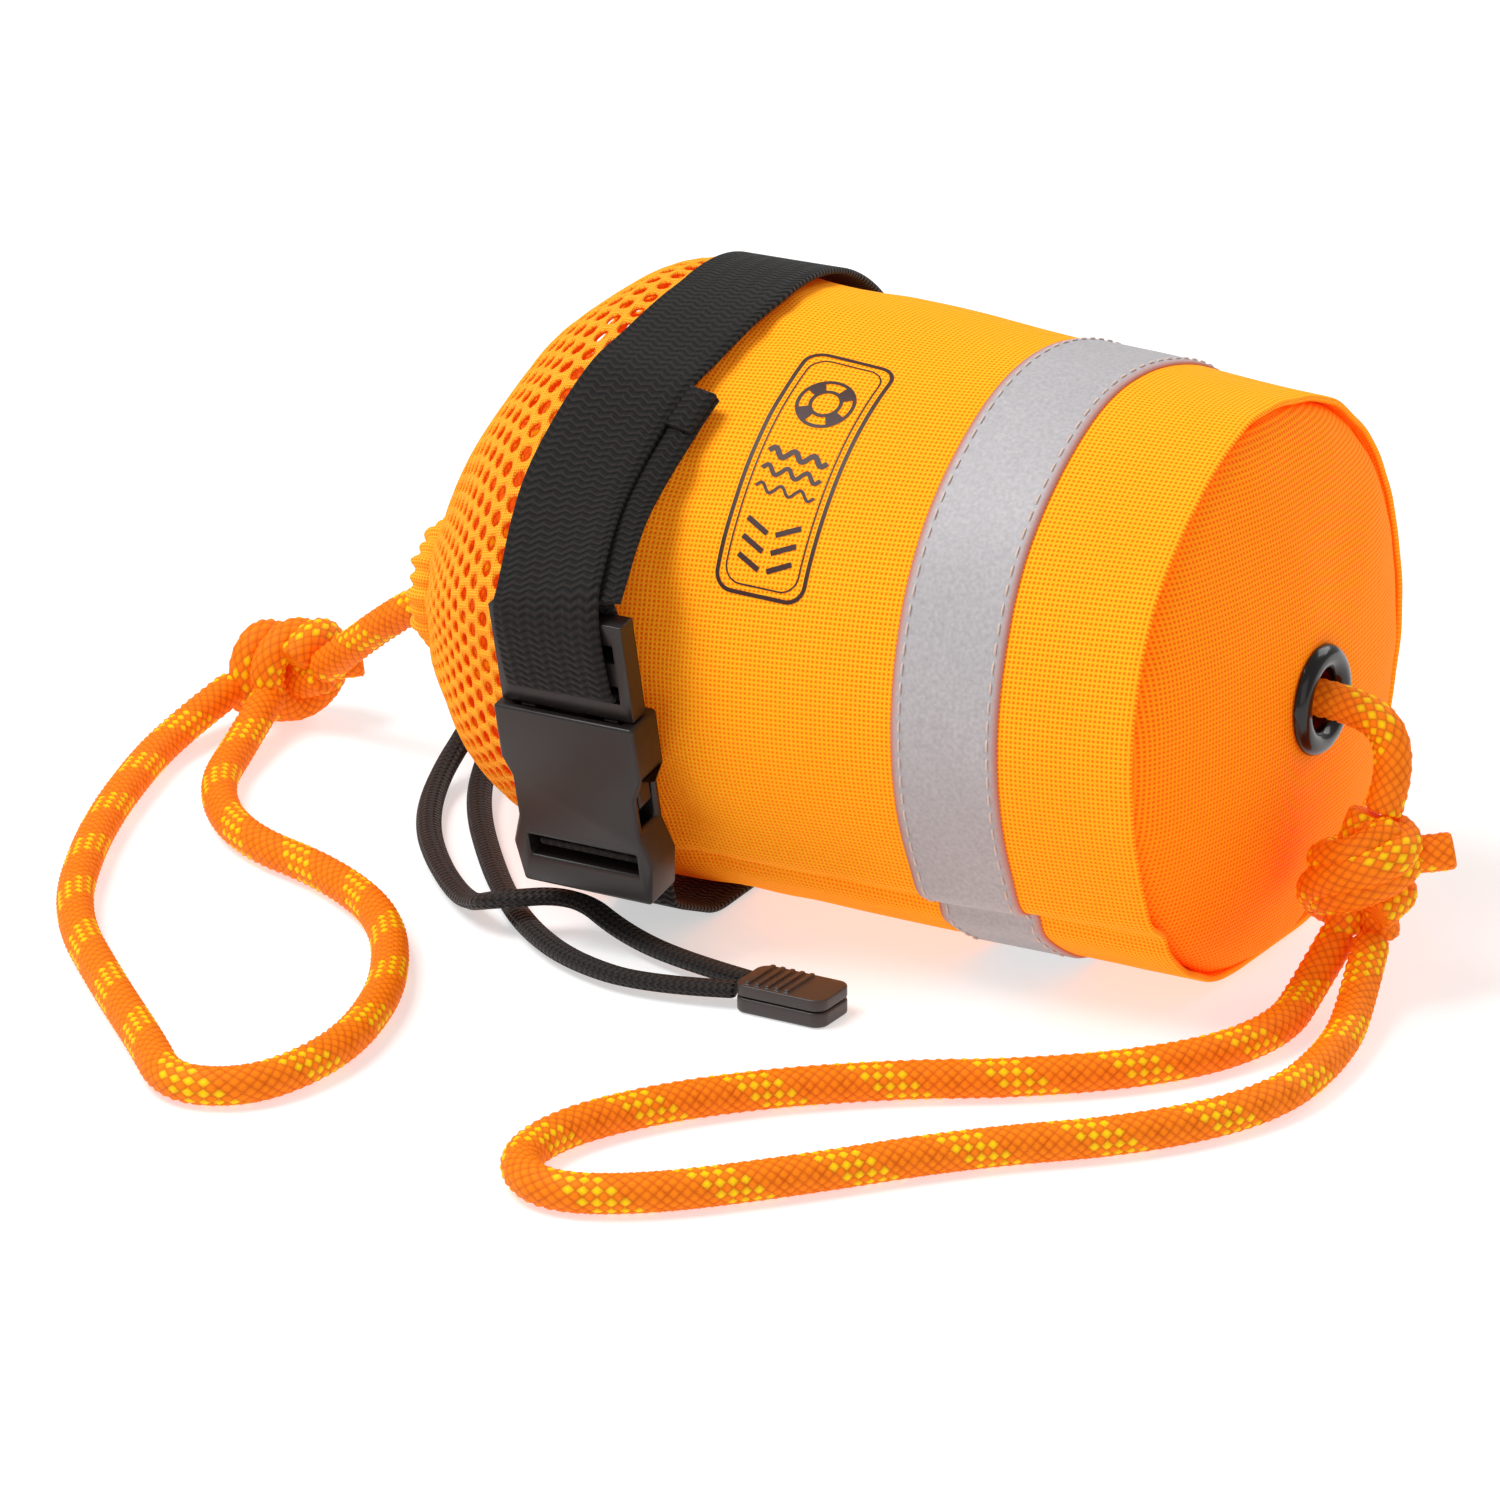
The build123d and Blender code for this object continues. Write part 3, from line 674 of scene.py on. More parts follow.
class THROWBAG_OT_stage(bpy.types.Operator):
    """Camera, soft lights and pale floor"""

    bl_idname = "throw_bag.stage"
    bl_label = "Stage"

    def execute(self, context):
        scene = context.scene
        scene.view_settings.view_transform = "Standard"
        azimuth, lift, distance = math.radians(29.6), math.radians(19.4), 1.5
        target = Vector((0, 0, 0.06))
        level = math.cos(lift)
        back = Vector((math.sin(azimuth) * level, -math.cos(azimuth) * level, math.sin(lift)))
        camera = linked("camera", bpy.data.cameras.new("camera"))
        camera.location = target + back * distance
        camera.rotation_euler = back.to_track_quat("Z", "Y").to_euler()
        camera.data.sensor_width = 36.0
        camera.data.lens = 4.58 * camera.data.sensor_width
        camera.data.shift_x = -0.126
        camera.data.shift_y = -0.0787
        camera.data.clip_end = 20
        scene.camera = camera
        for name, spot, size, power in (
            ("key", (-0.8, -0.7, 2.0), 1.1, 40),
            ("fill", (1.7, -1.3, 0.9), 1.6, 5),
            ("rim", (0.6, 1.5, 1.3), 1.2, 12),
        ):
            light = linked(name, bpy.data.lights.new(name, "AREA"))
            light.location = spot
            light.rotation_euler = (Vector(spot) - target).to_track_quat("Z", "Y").to_euler()
            light.data.size = size
            light.data.energy = power
        world = bpy.data.worlds.new("soft_room")
        world.use_nodes = True
        background = world.node_tree.nodes["Background"]
        background.inputs["Color"].default_value = (1, 1, 1, 1)
        background.inputs["Strength"].default_value = 0.36
        scene.world = world
        bpy.ops.object.select_all(action="DESELECT")
        bpy.ops.mesh.primitive_plane_add(size=8, location=(0, 0, -0.0002))
        floor = context.object
        floor.name = "floor"
        grey, white = (0.55, 0.55, 0.55, 1), (1, 1, 1, 1)
        paint = blank_material(
            "pale_floor", Base_Color=grey, Roughness=0.7, Emission_Color=white, Emission_Strength=0.55
        )
        floor.data.materials.append(paint[0])
        make_finishes()
        return {"FINISHED"}


# Routes of the ropes and the drawcord, in millimetres, by the points that their smooth lines follow.
BASE_TAIL = [(79, 0, 61), (101, 0.5, 62.5), (113.5, -1, 54), (111, -6, 40.6)]
BASE_LOOP = [
    (104, -11, 13.6), (103, -24, 5), (107, -44, 4.2), (99, -68, 4.2), (76, -91, 4.2), (48, -108, 4.2),
    (22, -131, 4.2), (5, -157, 4.2), (3.5, -179, 4.2), (17, -190, 4.2), (35, -182, 4.2),
    (56, -160, 4.2), (80, -130, 4.2), (108, -106, 4.2), (124, -78, 4.2), (122, -46, 4.2),
    (115.5, -25, 6.5), (112, -12, 13.6),
]
MOUTH_TAIL = [(-117, 0, 46.5), (-134, 1.5, 45), (-152, 6.5, 33.5), (-173, 13.2, 17)]
MOUTH_LOOP = [
    (-196, 9, 9.5), (-198.5, -11, 4.4), (-189, -42, 4.2), (-174, -78, 4.2), (-152, -116, 4.2),
    (-120, -145, 4.2), (-94, -167, 4.2), (-78, -182, 4.2), (-63, -176, 4.2), (-58, -158, 4.2),
    (-60, -138, 4.2), (-70, -112, 4.2), (-90, -84, 4.2), (-116, -68, 4.2), (-146, -60, 4.2),
    (-169, -38, 4.2), (-180, -11, 4.4), (-185, 8, 9.5),
]
STRAND_A = [
    (-129.5, 23, 20.9), (-131, 12, 11), (-129, -6, 3.2), (-116, -30, 2.7), (-99, -50, 2.7),
    (-82, -65, 2.7), (-70, -73, 8.6), (-56, -61, 8.6), (-42, -64, 3.2), (-23, -70.5, 2.9),
    (-3.7, -74, 3.5),
]
STRAND_B = [
    (-123.8, 23, 20.9), (-124.5, 14, 11), (-121, 0, 3.2), (-109, -19, 2.7), (-93, -39, 2.7),
    (-78, -56, 2.7), (-62, -71, 2.7), (-44, -82, 2.7), (-23, -86, 2.9), (-4.1, -79.8, 3.5),
]


ROPE_STEP = 0.6  # spacing of the rings along a rope


def plait_height(share, walked, pitch):
    """How far the braid's strands stand out, from 0 to 1, at an angle share and a length."""
    first = PLAITS * (share + walked / pitch)
    second = PLAITS * (share - walked / pitch)
    return max(0.0, math.sin(math.pi * (first % 1)) * math.sin(math.pi * (second % 1))) ** 0.5


def rope_tube(name, line, around=40):
    """A braided rope along a line, its strands standing out as real relief."""
    bag = bpy.context.scene.throw_bag
    radius = bag.rope_width / 2 / MM
    pitch = bag.plait_pitch / MM

    def section(share, walked):
        turn = math.tau * share
        out = radius - 0.42 + 0.62 * plait_height(share, walked, pitch)
        return out * math.cos(turn), out * math.sin(turn)

    return sweep_section(name, line, section, around)


def declare_cord(piece, line, width, **facts):
    """Measure a cord's length along its middle line, then drop it; its width is not used."""
    length_of(line) * MM


def knot_piece(name, centre, axis, across, stub):
    """A tied loop knot: strands wound round the doubled rope, one crossing them, and the cut end."""
    up = Vector(axis).normalized()
    side = (Vector(across) - up * Vector(across).dot(up)).normalized()
    third = up.cross(side)

    def spot(u, v, w):
        return Vector(centre) + side * u + third * v + up * w

    wraps, last = [], 18
    for k in range(last + 1):
        turn = math.radians(-60 + 42 * k)
        reach = 8.9 if 1 < k < last - 1 else 6.5
        rise = 16.8 * (k / last - 0.5) + 2.6 * math.cos(turn)
        wraps.append((reach * math.cos(turn), reach * math.sin(turn), rise))
    crossing = [(-6, 7, -10), (-10.5, 3, -7), (-9.6, -6, -1), (-1, -11.2, 3)]
    crossing += [(7.5, -8, 6.5), (8.5, 0, 9), (4, 5, 9)]
    strands = [
        wraps,
        [(-3.5, 0, -13.5), (-4.0, 1, -4), (-3, 0, 5), (0, 0, 13.5)],
        [(4.5, 0, -13.5), (3.6, -1, -4), (3, -2, 5), (0, -1, 12)],
        crossing,
        [(2, 2, 4), (stub[0] * 0.6, stub[1] * 0.6, stub[2] * 0.7), stub],
    ]
    tubes = []
    for i, strand in enumerate(strands):
        tubes.append(rope_tube(name + str(i), centreline([spot(*point) for point in strand], ROPE_STEP)))
    return join(tubes, name)


class THROWBAG_OT_ropes(bpy.types.Operator):
    """Rope tails, knots and hand loops at both ends"""

    bl_idname = "throw_bag.ropes"
    bl_label = "Ropes"

    def execute(self, context):
        width = context.scene.throw_bag.rope_width
        rope = FINISHES["rope"]
        base_knot = knot_piece("base_knot_rope", (108, -8, 27), (0, 0.1, 1), (1, 0.4, 0), (18.5, 3, 6))
        mouth_axis = (0.96, -0.28, 0.1)
        mouth_knot = knot_piece("mouth_knot_rope", (-186, 17, 13.6), mouth_axis, (0, 0, 1), (1, -12.5, 13))
        place(base_knot, rope, "rope", "base_knot")
        place(mouth_knot, rope, "rope", "mouth_knot")
        for name, route, node, knot, exit_point in (
            ("base_tail_rope", BASE_TAIL, "base_rope_tail", base_knot, (0.0926, 0, 0.061)),
            ("base_loop_rope", BASE_LOOP, "base_hand_loop", base_knot, (0.104, -0.011, 0.0136)),
            ("mouth_tail_rope", MOUTH_TAIL, "mouth_rope_tail", mouth_knot, (-0.1265, 0, 0.046)),
            ("mouth_loop_rope", MOUTH_LOOP, "mouth_hand_loop", mouth_knot, (-0.196, 0.009, 0.0095)),
        ):
            line = centreline(route, ROPE_STEP)
            piece = place(rope_tube(name, line), rope, "rope", node)
            facts = {"exit": exit_point, "far_end": "knot", "stiffness": "medium"}
            declare_cord(piece, line, width, with_pieces=[knot] if "tail" in name else [], **facts)
        return {"FINISHED"}


class THROWBAG_OT_drawcord(bpy.types.Operator):
    """The drawcord's two free strands, from the cord lock to the cord end"""

    bl_idname = "throw_bag.drawcord"
    bl_label = "Drawcord"

    def execute(self, context):
        width = context.scene.throw_bag.cord_width
        half = width / 2 / MM

        def section(share, walked):
            turn = math.tau * share
            ridge = 1 + 0.07 * math.cos(turn * 10)
            return half * 1.08 * math.cos(turn) * ridge, 1.75 * math.sin(turn) * ridge

        ends = [bpy.data.objects["cord_end_base_moulded"]]
        for name, route, node in (
            ("drawcord_left", STRAND_A, "drawcord_strand_a"),
            ("drawcord_right", STRAND_B, "drawcord_strand_b"),
        ):
            line = centreline(route, 0.8)
            piece = sweep_section(name, line, section, 40, level_frames(line))
            place(piece, FINISHES["cord"], "black_cord", node)
            facts = {"exit": tuple(line[0] * MM), "far_end": "fitting", "stiffness": "limp"}
            declare_cord(piece, line, width, with_pieces=ends, **facts)
        return {"FINISHED"}


# ---------------------------------------------------------------- fabric


class THROWBAG_OT_fabric(bpy.types.Operator):
    """Stuffed fabric body and its bulging base panel"""

    bl_idname = "throw_bag.fabric"
    bl_label = "Fabric"

    def execute(self, context):
        rows = [MOUTH_X + (BASE_X - MOUTH_X) * (i / 120) for i in range(120)]
        rows += [BASE_X - 0.7, BASE_X - 0.3, BASE_X]
        body = bag_patch("fabric_body", 300, rows, 0.0, 1.2)
        place(body, FINISHES["fabric"], "orange_fabric", "body_panel")
        rim, eyelet, rounds, spokes = 61.8, 9.0, 60, 288
        sphere = (BASE_R**2 + BULGE**2) / (2 * BULGE)
        centre_z = BASE_R - SINK
        turns = [math.tau * j / spokes for j in range(spokes)]
        grid = []
        for x, radius in ((BASE_X - 6, 61.2), (BASE_X - 4, 61.4), (BASE_X - 3, 61.6)):
            spots = [(-radius * math.cos(t), centre_z + radius * math.sin(t)) for t in turns]
            grid.append([(x, y, soft_floor(z, BED + 0.3)) for y, z in spots])
        for i in range(rounds + 1):
            radius = rim - (rim - eyelet) * i / rounds
            rise = math.sqrt(sphere**2 - radius**2) - (sphere - BULGE)
            shoulder = 1 - (radius / rim) ** 26
            row = []
            for turn in turns:
                spoke = Vector((math.cos(turn), math.sin(turn), 0))
                gather = 0.9 * (radius / rim) ** 8 * math.sin(21 * turn) * noise.noise(spoke * 2.5)
                soft = 0.9 * noise.noise(Vector((spoke.x * radius / 24, spoke.y * radius / 24, 3)))
                x = BASE_X - 2.55 + (rise + gather + soft) * (0.2 + 0.8 * shoulder) + 2.4 * shoulder
                z = soft_floor(centre_z + radius * math.sin(turn), BED)
                row.append((x, -radius * math.cos(turn), z))
            grid.append(row)
        blank_uvs = [[(0, 0)] * (spokes + 1)] * len(grid)
        panel = skin("base_panel_fabric", grid, blank_uvs, closed=True, inner=(0, 0, 60))
        mesh = panel.data
        for loop, corner in zip(mesh.uv_layers["surface"].data, mesh.loops):
            point = mesh.vertices[corner.vertex_index].co
            loop.uv = (point.y, point.z)
        apply_modifier(panel, "SOLIDIFY", thickness=1.0 * MM, offset=-1)
        # The base panel takes the fabric darkened as painted shade.
        place(panel, FINISHES["end"], "orange_fabric", "base_panel")
        return {"FINISHED"}


class THROWBAG_OT_tape(bpy.types.Operator):
    """Reflective tape round the bag, sewn down along both edges"""

    bl_idname = "throw_bag.tape"
    bl_label = "Reflective tape"

    def execute(self, context):
        width, seam, lift = 25, 10.4, 0.75
        rows = [BAND_X + width * (i / 20 - 0.5) for i in range(21)]
        band = bag_patch("reflective_tape", 300, rows, lambda x: lift - 0.35 * (abs(x - BAND_X) > 12.2), 0.5)
        place(band, FINISHES["tape"], "reflective_tape", "reflective_band")
        stitches = []
        for edge in (BAND_X - seam, BAND_X + seam):
            for k in range(100):
                angle = -180 + 3.6 * k
                start, end = bag_point(edge, angle, lift), bag_point(edge, angle + 2.5, lift)
                if start.z > 3:
                    heart = Vector((edge, 0, body_radius(edge) - SINK))
                    stitches.append((start, end, (start - heart).normalized()))
        place(dashes("tape_stitches", stitches, 0.27, 0.24), FINISHES["thread"], "reflective_tape")
        return {"FINISHED"}


def ink_stroke(places, width):
    """A ribbon of ink just above the fabric, along places given as across and up distances on the print."""
    rows, uvs = [], []
    for i, (across, up) in enumerate(places):
        ahead = places[min(i + 1, len(places) - 1)]
        behind = places[max(i - 1, 0)]
        run = Vector((ahead[0] - behind[0], ahead[1] - behind[1])).normalized()
        row = []
        for k in range(5):
            shift = width * (k / 4 - 0.5)
            u, v = across - run.y * shift, up + run.x * shift
            row.append(bag_point(-8 + u, 45 + math.degrees(v / 67), 0.14))
        rows.append(row)
        uvs.append([(0, 0)] * 5)
    return skin("ink", rows, uvs, inner=(-8, 0, 62))


def arc(centre, radius, start, end, steps):
    """Places along an arc, angles in degrees."""
    turns = [math.radians(start + (end - start) * i / steps) for i in range(steps + 1)]
    return [(centre[0] + radius * math.cos(t), centre[1] + radius * math.sin(t)) for t in turns]


def between(first, last, share):
    """A place between two places on the print."""
    return first[0] + (last[0] - first[0]) * share, first[1] + (last[1] - first[1]) * share


class THROWBAG_OT_print(bpy.types.Operator):
    """Plain printed panel: a rounded frame, a life ring and water, with no wording"""

    bl_idname = "throw_bag.print"
    bl_label = "Printed pictogram"

    def execute(self, context):
        wide, tall, bend = 10.5, 30.0, 4.0
        ring = (0, 16)
        strokes = []
        for inset, width in ((0.0, 0.9), (1.8, 0.35)):
            x, y = wide - inset, tall - inset
            frame_line = []
            for cx, cy, first in ((1, 1, 0), (-1, 1, 90), (-1, -1, 180), (1, -1, 270)):
                middle = (cx * (x - bend), cy * (y - bend))
                corner = arc(middle, bend, first, first + 90, 8)
                if frame_line:
                    last = frame_line[-1]
                    frame_line += [between(last, corner[0], k / 16) for k in range(1, 16)]
                frame_line += corner
            last, first = frame_line[-1], frame_line[0]
            frame_line += [between(last, first, k / 40) for k in range(1, 41)]
            strokes.append(ink_stroke(frame_line, width))
        strokes.append(ink_stroke(arc(ring, 6.3, 0, 360, 48), 0.8))
        strokes.append(ink_stroke(arc(ring, 3.4, 0, 360, 36), 0.8))
        for quarter in range(4):
            strokes.append(ink_stroke(arc(ring, 4.85, 25 + 90 * quarter, 65 + 90 * quarter, 10), 2.4))
        for level in range(3):
            crest = 1.5 - 4.2 * level
            wave = [(-7 + 14 * k / 40, crest + math.sin(k * math.pi / 6.66)) for k in range(41)]
            strokes.append(ink_stroke(wave, 1.3 - 0.3 * level))
        for level in range(3):
            for side in (-1, 1):
                tip = -14 - 4.0 * level
                ray = [(side * (1 + 5.4 * k / 12), tip - 2.6 * (1 - k / 12)) for k in range(13)]
                strokes.append(ink_stroke(ray, 1.2))
        piece = join(strokes, "printed_pictogram")
        place(piece, FINISHES["ink"], "orange_fabric")
        return {"FINISHED"}


# ---------------------------------------------------------------- mesh collar

# The collar's profile from the fabric to the mouth: place along the bag, radius and centre height.
COLLAR = [
    (-50.1, 68, 65), (-68, 67.6, 65.2), (-85.5, 60, 61.8), (-99.5, 47.6, 57.4), (-111, 34, 54),
    (-119, 22, 52), (-122.7, 13.5, 50),
]


def collar_ring(share):
    """Place along the bag, radius and centre height of the collar, a share of the way to the mouth."""
    spot = share * (len(COLLAR) - 1)
    k = min(int(spot), len(COLLAR) - 2)
    t = spot - k
    a, b, c, d = (Vector(COLLAR[min(max(i, 0), len(COLLAR) - 1)]) for i in (k - 1, k, k + 1, k + 2))
    return 0.5 * (2 * b + (c - a) * t + (2 * a - 5 * b + 4 * c - d) * t**2 + (3 * b - a - 3 * c + d) * t**3)


def collar_point(share, turn, out=0.0):
    """A point on the mesh collar, pleated towards the mouth and lumpy over the rope inside."""
    x, radius, height = collar_ring(share)
    spoke = Vector((0, math.cos(turn), math.sin(turn)))
    pleat = 2.0 * max(0.0, share - 0.42) ** 1.1 * math.sin(17 * turn + 2.2 * noise.noise(spoke * 2))
    bulge = noise.noise(spoke * 3.1 + Vector((share * 4, 0, 0)))
    lump = 1.5 * math.sin(math.pi * min(1, share * 1.3)) * bulge
    reach = radius + pleat + lump - 0.5 + out
    return Vector((x, -reach * math.cos(turn), soft_floor(height + reach * math.sin(turn), BED)))


class THROWBAG_OT_collar(bpy.types.Operator):
    """Mesh collar with real holes, and the gathered hem at the mouth"""

    bl_idname = "throw_bag.collar"
    bl_label = "Mesh collar"

    def execute(self, context):
        bag = context.scene.throw_bag
        columns, rows = bag.holes_round, bag.hole_rows
        cell_round, cell_along = 0.0056, 0.0048  # one hole's share of the net, in metres
        spine = [collar_point(i / 200, 0) for i in range(201)]
        whole = length_of(spine)
        shares, walked = [0.0], 0.0
        for i in range(1, 201):
            walked += (spine[i] - spine[i - 1]).length
            while walked >= whole * len(shares) / rows - 1e-6 and len(shares) <= rows:
                shares.append(i / 200)
        border = [(0, 0), (0.25, 0), (0.5, 0), (0.75, 0), (1, 0), (1, 0.5)]
        border += [(1, 1), (0.75, 1), (0.5, 1), (0.25, 1), (0, 1), (0, 0.5)]
        turns = [math.atan2((v - 0.5), (u - 0.5)) for u, v in border]
        hole = [(0.5 + 0.37 * math.cos(turn), 0.5 + 0.385 * math.sin(turn)) for turn in turns]
        points, faces, uvs = [], [], []
        for i in range(rows):
            for j in range(columns):
                shift = 0.5 * (i % 2)
                first = len(points)
                for ring in (border, hole):
                    for u, v in ring:
                        share = shares[i] + (shares[i + 1] - shares[i]) * v
                        turn = math.tau * (j + u + shift) / columns
                        lift = 0.22 if ring is border else -0.1
                        points.append(collar_point(share, turn, lift) * MM)
                        uvs.append(((j + u + shift) * cell_round, (i + v) * cell_along))
                for k in range(12):
                    n = (k + 1) % 12
                    faces.append((first + k, first + n, first + 12 + n, first + 12 + k))
        mesh = bpy.data.meshes.new("mesh_collar_net")
        mesh.from_pydata(points, [], faces)
        layer = mesh.uv_layers.new(name="surface")
        for loop, corner in zip(layer.data, mesh.loops):
            loop.uv = uvs[corner.vertex_index]
        net = linked("mesh_collar_net", mesh)
        merge_doubles(net, 0.00008)
        face_away(net, (-70, 0, 60))
        apply_modifier(net, "SOLIDIFY", thickness=0.9 * MM, offset=0)
        place(net, FINISHES["mesh"], "orange_mesh", "mesh_collar")

        spokes, sides = 180, 24
        ring_rows = []
        for i in range(spokes):
            turn = math.tau * i / spokes
            gather = 3.1 + 0.55 * math.sin(turn * 23) + 0.3 * math.sin(turn * 11 + 1)
            row = []
            for j in range(sides):
                tube = math.tau * j / sides
                reach = 12.5 + gather * math.cos(tube)
                stretch = 1.25 * gather * math.sin(tube)
                row.append((-126.3 + stretch, -reach * math.cos(turn), 50 + reach * math.sin(turn)))
            ring_rows.append(row)
        ring_rows.append(ring_rows[0])
        ring_uvs = [[(j * 0.0009, i * 0.00045) for j in range(sides + 1)] for i in range(spokes + 1)]
        hem = skin("mouth_hem_fabric", ring_rows, ring_uvs, closed=True)
        merge_doubles(hem)
        face_outwards(hem)
        place(hem, FINISHES["mesh"], "orange_mesh", "mouth_hem")

        bpy.ops.object.select_all(action="DESELECT")
        bpy.ops.mesh.primitive_torus_add(
            major_radius=0.0125,
            minor_radius=0.0018,
            major_segments=96,
            minor_segments=20,
            location=(-0.1265, 0, 0.05),
            rotation=(0, math.pi / 2, 0),
        )
        ring = context.object
        bpy.ops.object.transform_apply(location=True, rotation=True, scale=True)
        ring.name = "drawcord_in_hem"
        ring.data.uv_layers[0].name = "surface"
        bpy.ops.object.shade_smooth()
        place(ring, FINISHES["cord"], "black_cord", "drawcord_ring")
        return {"FINISHED"}


class THROWBAG_OT_filling(bpy.types.Operator):
    """Coiled rope seen through the mesh, the foam disc and the parts inside the base"""

    bl_idname = "throw_bag.filling"
    bl_label = "Packed rope and foam"

    def execute(self, context):
        rnd = random.Random(7)
        route = []
        for k in range(100):
            turn = math.tau * k / 11
            share = 0.02 + 0.8 * k / 99
            x, radius, height = collar_ring(share)
            reach = max(radius - 9.5 - 8 * share - 3 * rnd.random(), 5)
            height = max(height + reach * math.sin(turn), 8)
            route.append((x + 5 * math.sin(turn * 0.5 + k), -reach * math.cos(turn), height))
        coils = rope_tube("packed_rope_coils", centreline(route, 1.4), 20)
        core = rounded_copy("packed_rope", 0.5, "packed_rope_core")
        heart = Vector((-17, 0, 58)) * MM
        for vertex in core.data.vertices:
            vertex.co = heart + (vertex.co - heart) * 0.86
        # With every UV at zero, the braid shader gives the whole core its crevice colour: painted shade deep
        # inside the bag.
        core.data.uv_layers.new(name="surface")
        place(join([coils, core], "packed_rope_coils"), FINISHES["rope"], "rope", "packed_rope")
        inner = rope_tube("rope_in_base", centreline([(61, 0, 61), (70, 0, 61), (79, 0, 61)], 0.7))
        place(inner, FINISHES["rope"], "rope", "inner_rope")
        for node, slot, finish in (
            ("foam_disc", "foam", "foam"),
            ("seam_tape", "seam_tape", "binding"),
            ("grommet_washer", "black_brass", "enamel"),
        ):
            piece = rounded_copy(node, 0.3, node + "_soft")
            if node != "grommet_washer":
                shrink, centre_z = 0.955, 0.061  # clear of the creased fabric round them
                for vertex in piece.data.vertices:
                    vertex.co.y *= shrink
                    vertex.co.z = centre_z + (vertex.co.z - centre_z) * shrink
            place(piece, FINISHES[finish], slot, node)
        return {"FINISHED"}


# ---------------------------------------------------------------- webbing and fittings


def ring_spot(angle, radius, x0):
    """A point of the belt's round path, angle up from the front, leaning along the bag with height."""
    turn = math.radians(angle)
    z = AXIS_Z + radius * math.sin(turn)
    return Vector((x0 + LEAN * (z - AXIS_Z), -radius * math.cos(turn), z))


# Where the belt's middle lies along the bag, for angles up from the front: it bows towards the mouth.
BELT_BOW = (
    (0, -51), (17, -53), (31, -53), (45, -51), (56, -48.6), (68, -46.4),
    (80, -45), (92, -46.5), (112, -50), (140, -53), (170, -55), (200, -55),
)


def belt_spot(angle, radius, shift=0.0):
    """A point of the belt as it lies on the stuffed bag."""
    for (a, x), (b, y) in zip(BELT_BOW, BELT_BOW[1:]):
        if a <= angle <= b:
            share = (angle - a) / (b - a)
            break
    spot = ring_spot(angle, radius, 0)
    spot.x = x + (y - x) * share + shift
    return spot


def belt_radius(angle):
    """The belt hugs the fabric, and rides over its own tail."""
    return 69.7 + 1.9 * min(1, max(0, (62 - angle) / 8))


def draped_strip(name, route, width):
    """Belt webbing along a route round the bag, its upper face away from the bag's middle line."""
    line = centreline(route, 0.9)
    tops = []
    for i, point in enumerate(line):
        run = heading(line, i)
        off = Vector((0, point.y, point.z - AXIS_Z))
        tops.append((off - run * off.dot(run)).normalized())
    return strip(name, line, tops, width)


def buckle_spot(u, v, w):
    """A point in the buckle's own frame: along the bag, up the buckle, out from the bag."""
    cos, sin = math.cos(BUCKLE_TILT), math.sin(BUCKLE_TILT)
    y = -BUCKLE_OUT * cos - v * sin - w * cos
    z = AXIS_Z - BUCKLE_OUT * sin + v * cos - w * sin
    return Vector((BUCKLE_X + u, y, z))


def turned(points, reaches):
    """Control points that keep straight runs between rounded corners."""
    route = [points[0]]
    for before, here, after, reach in zip(points, points[1:], points[2:], reaches):
        back, on = (before - here).normalized(), (after - here).normalized()
        route += [here + back * reach, here, here + on * reach]
    return route + [points[-1]]


def webbing_strip(name, route, width, step=0.9, outward=1):
    """Belt webbing along a route in the belt's plane, its upper face outward."""
    line = centreline(route, step)
    across = Vector((1, 0, 0))
    tops = [across.cross(heading(line, i)).normalized() * outward for i in range(len(line))]
    return strip(name, line, tops, width, [across] * len(line))


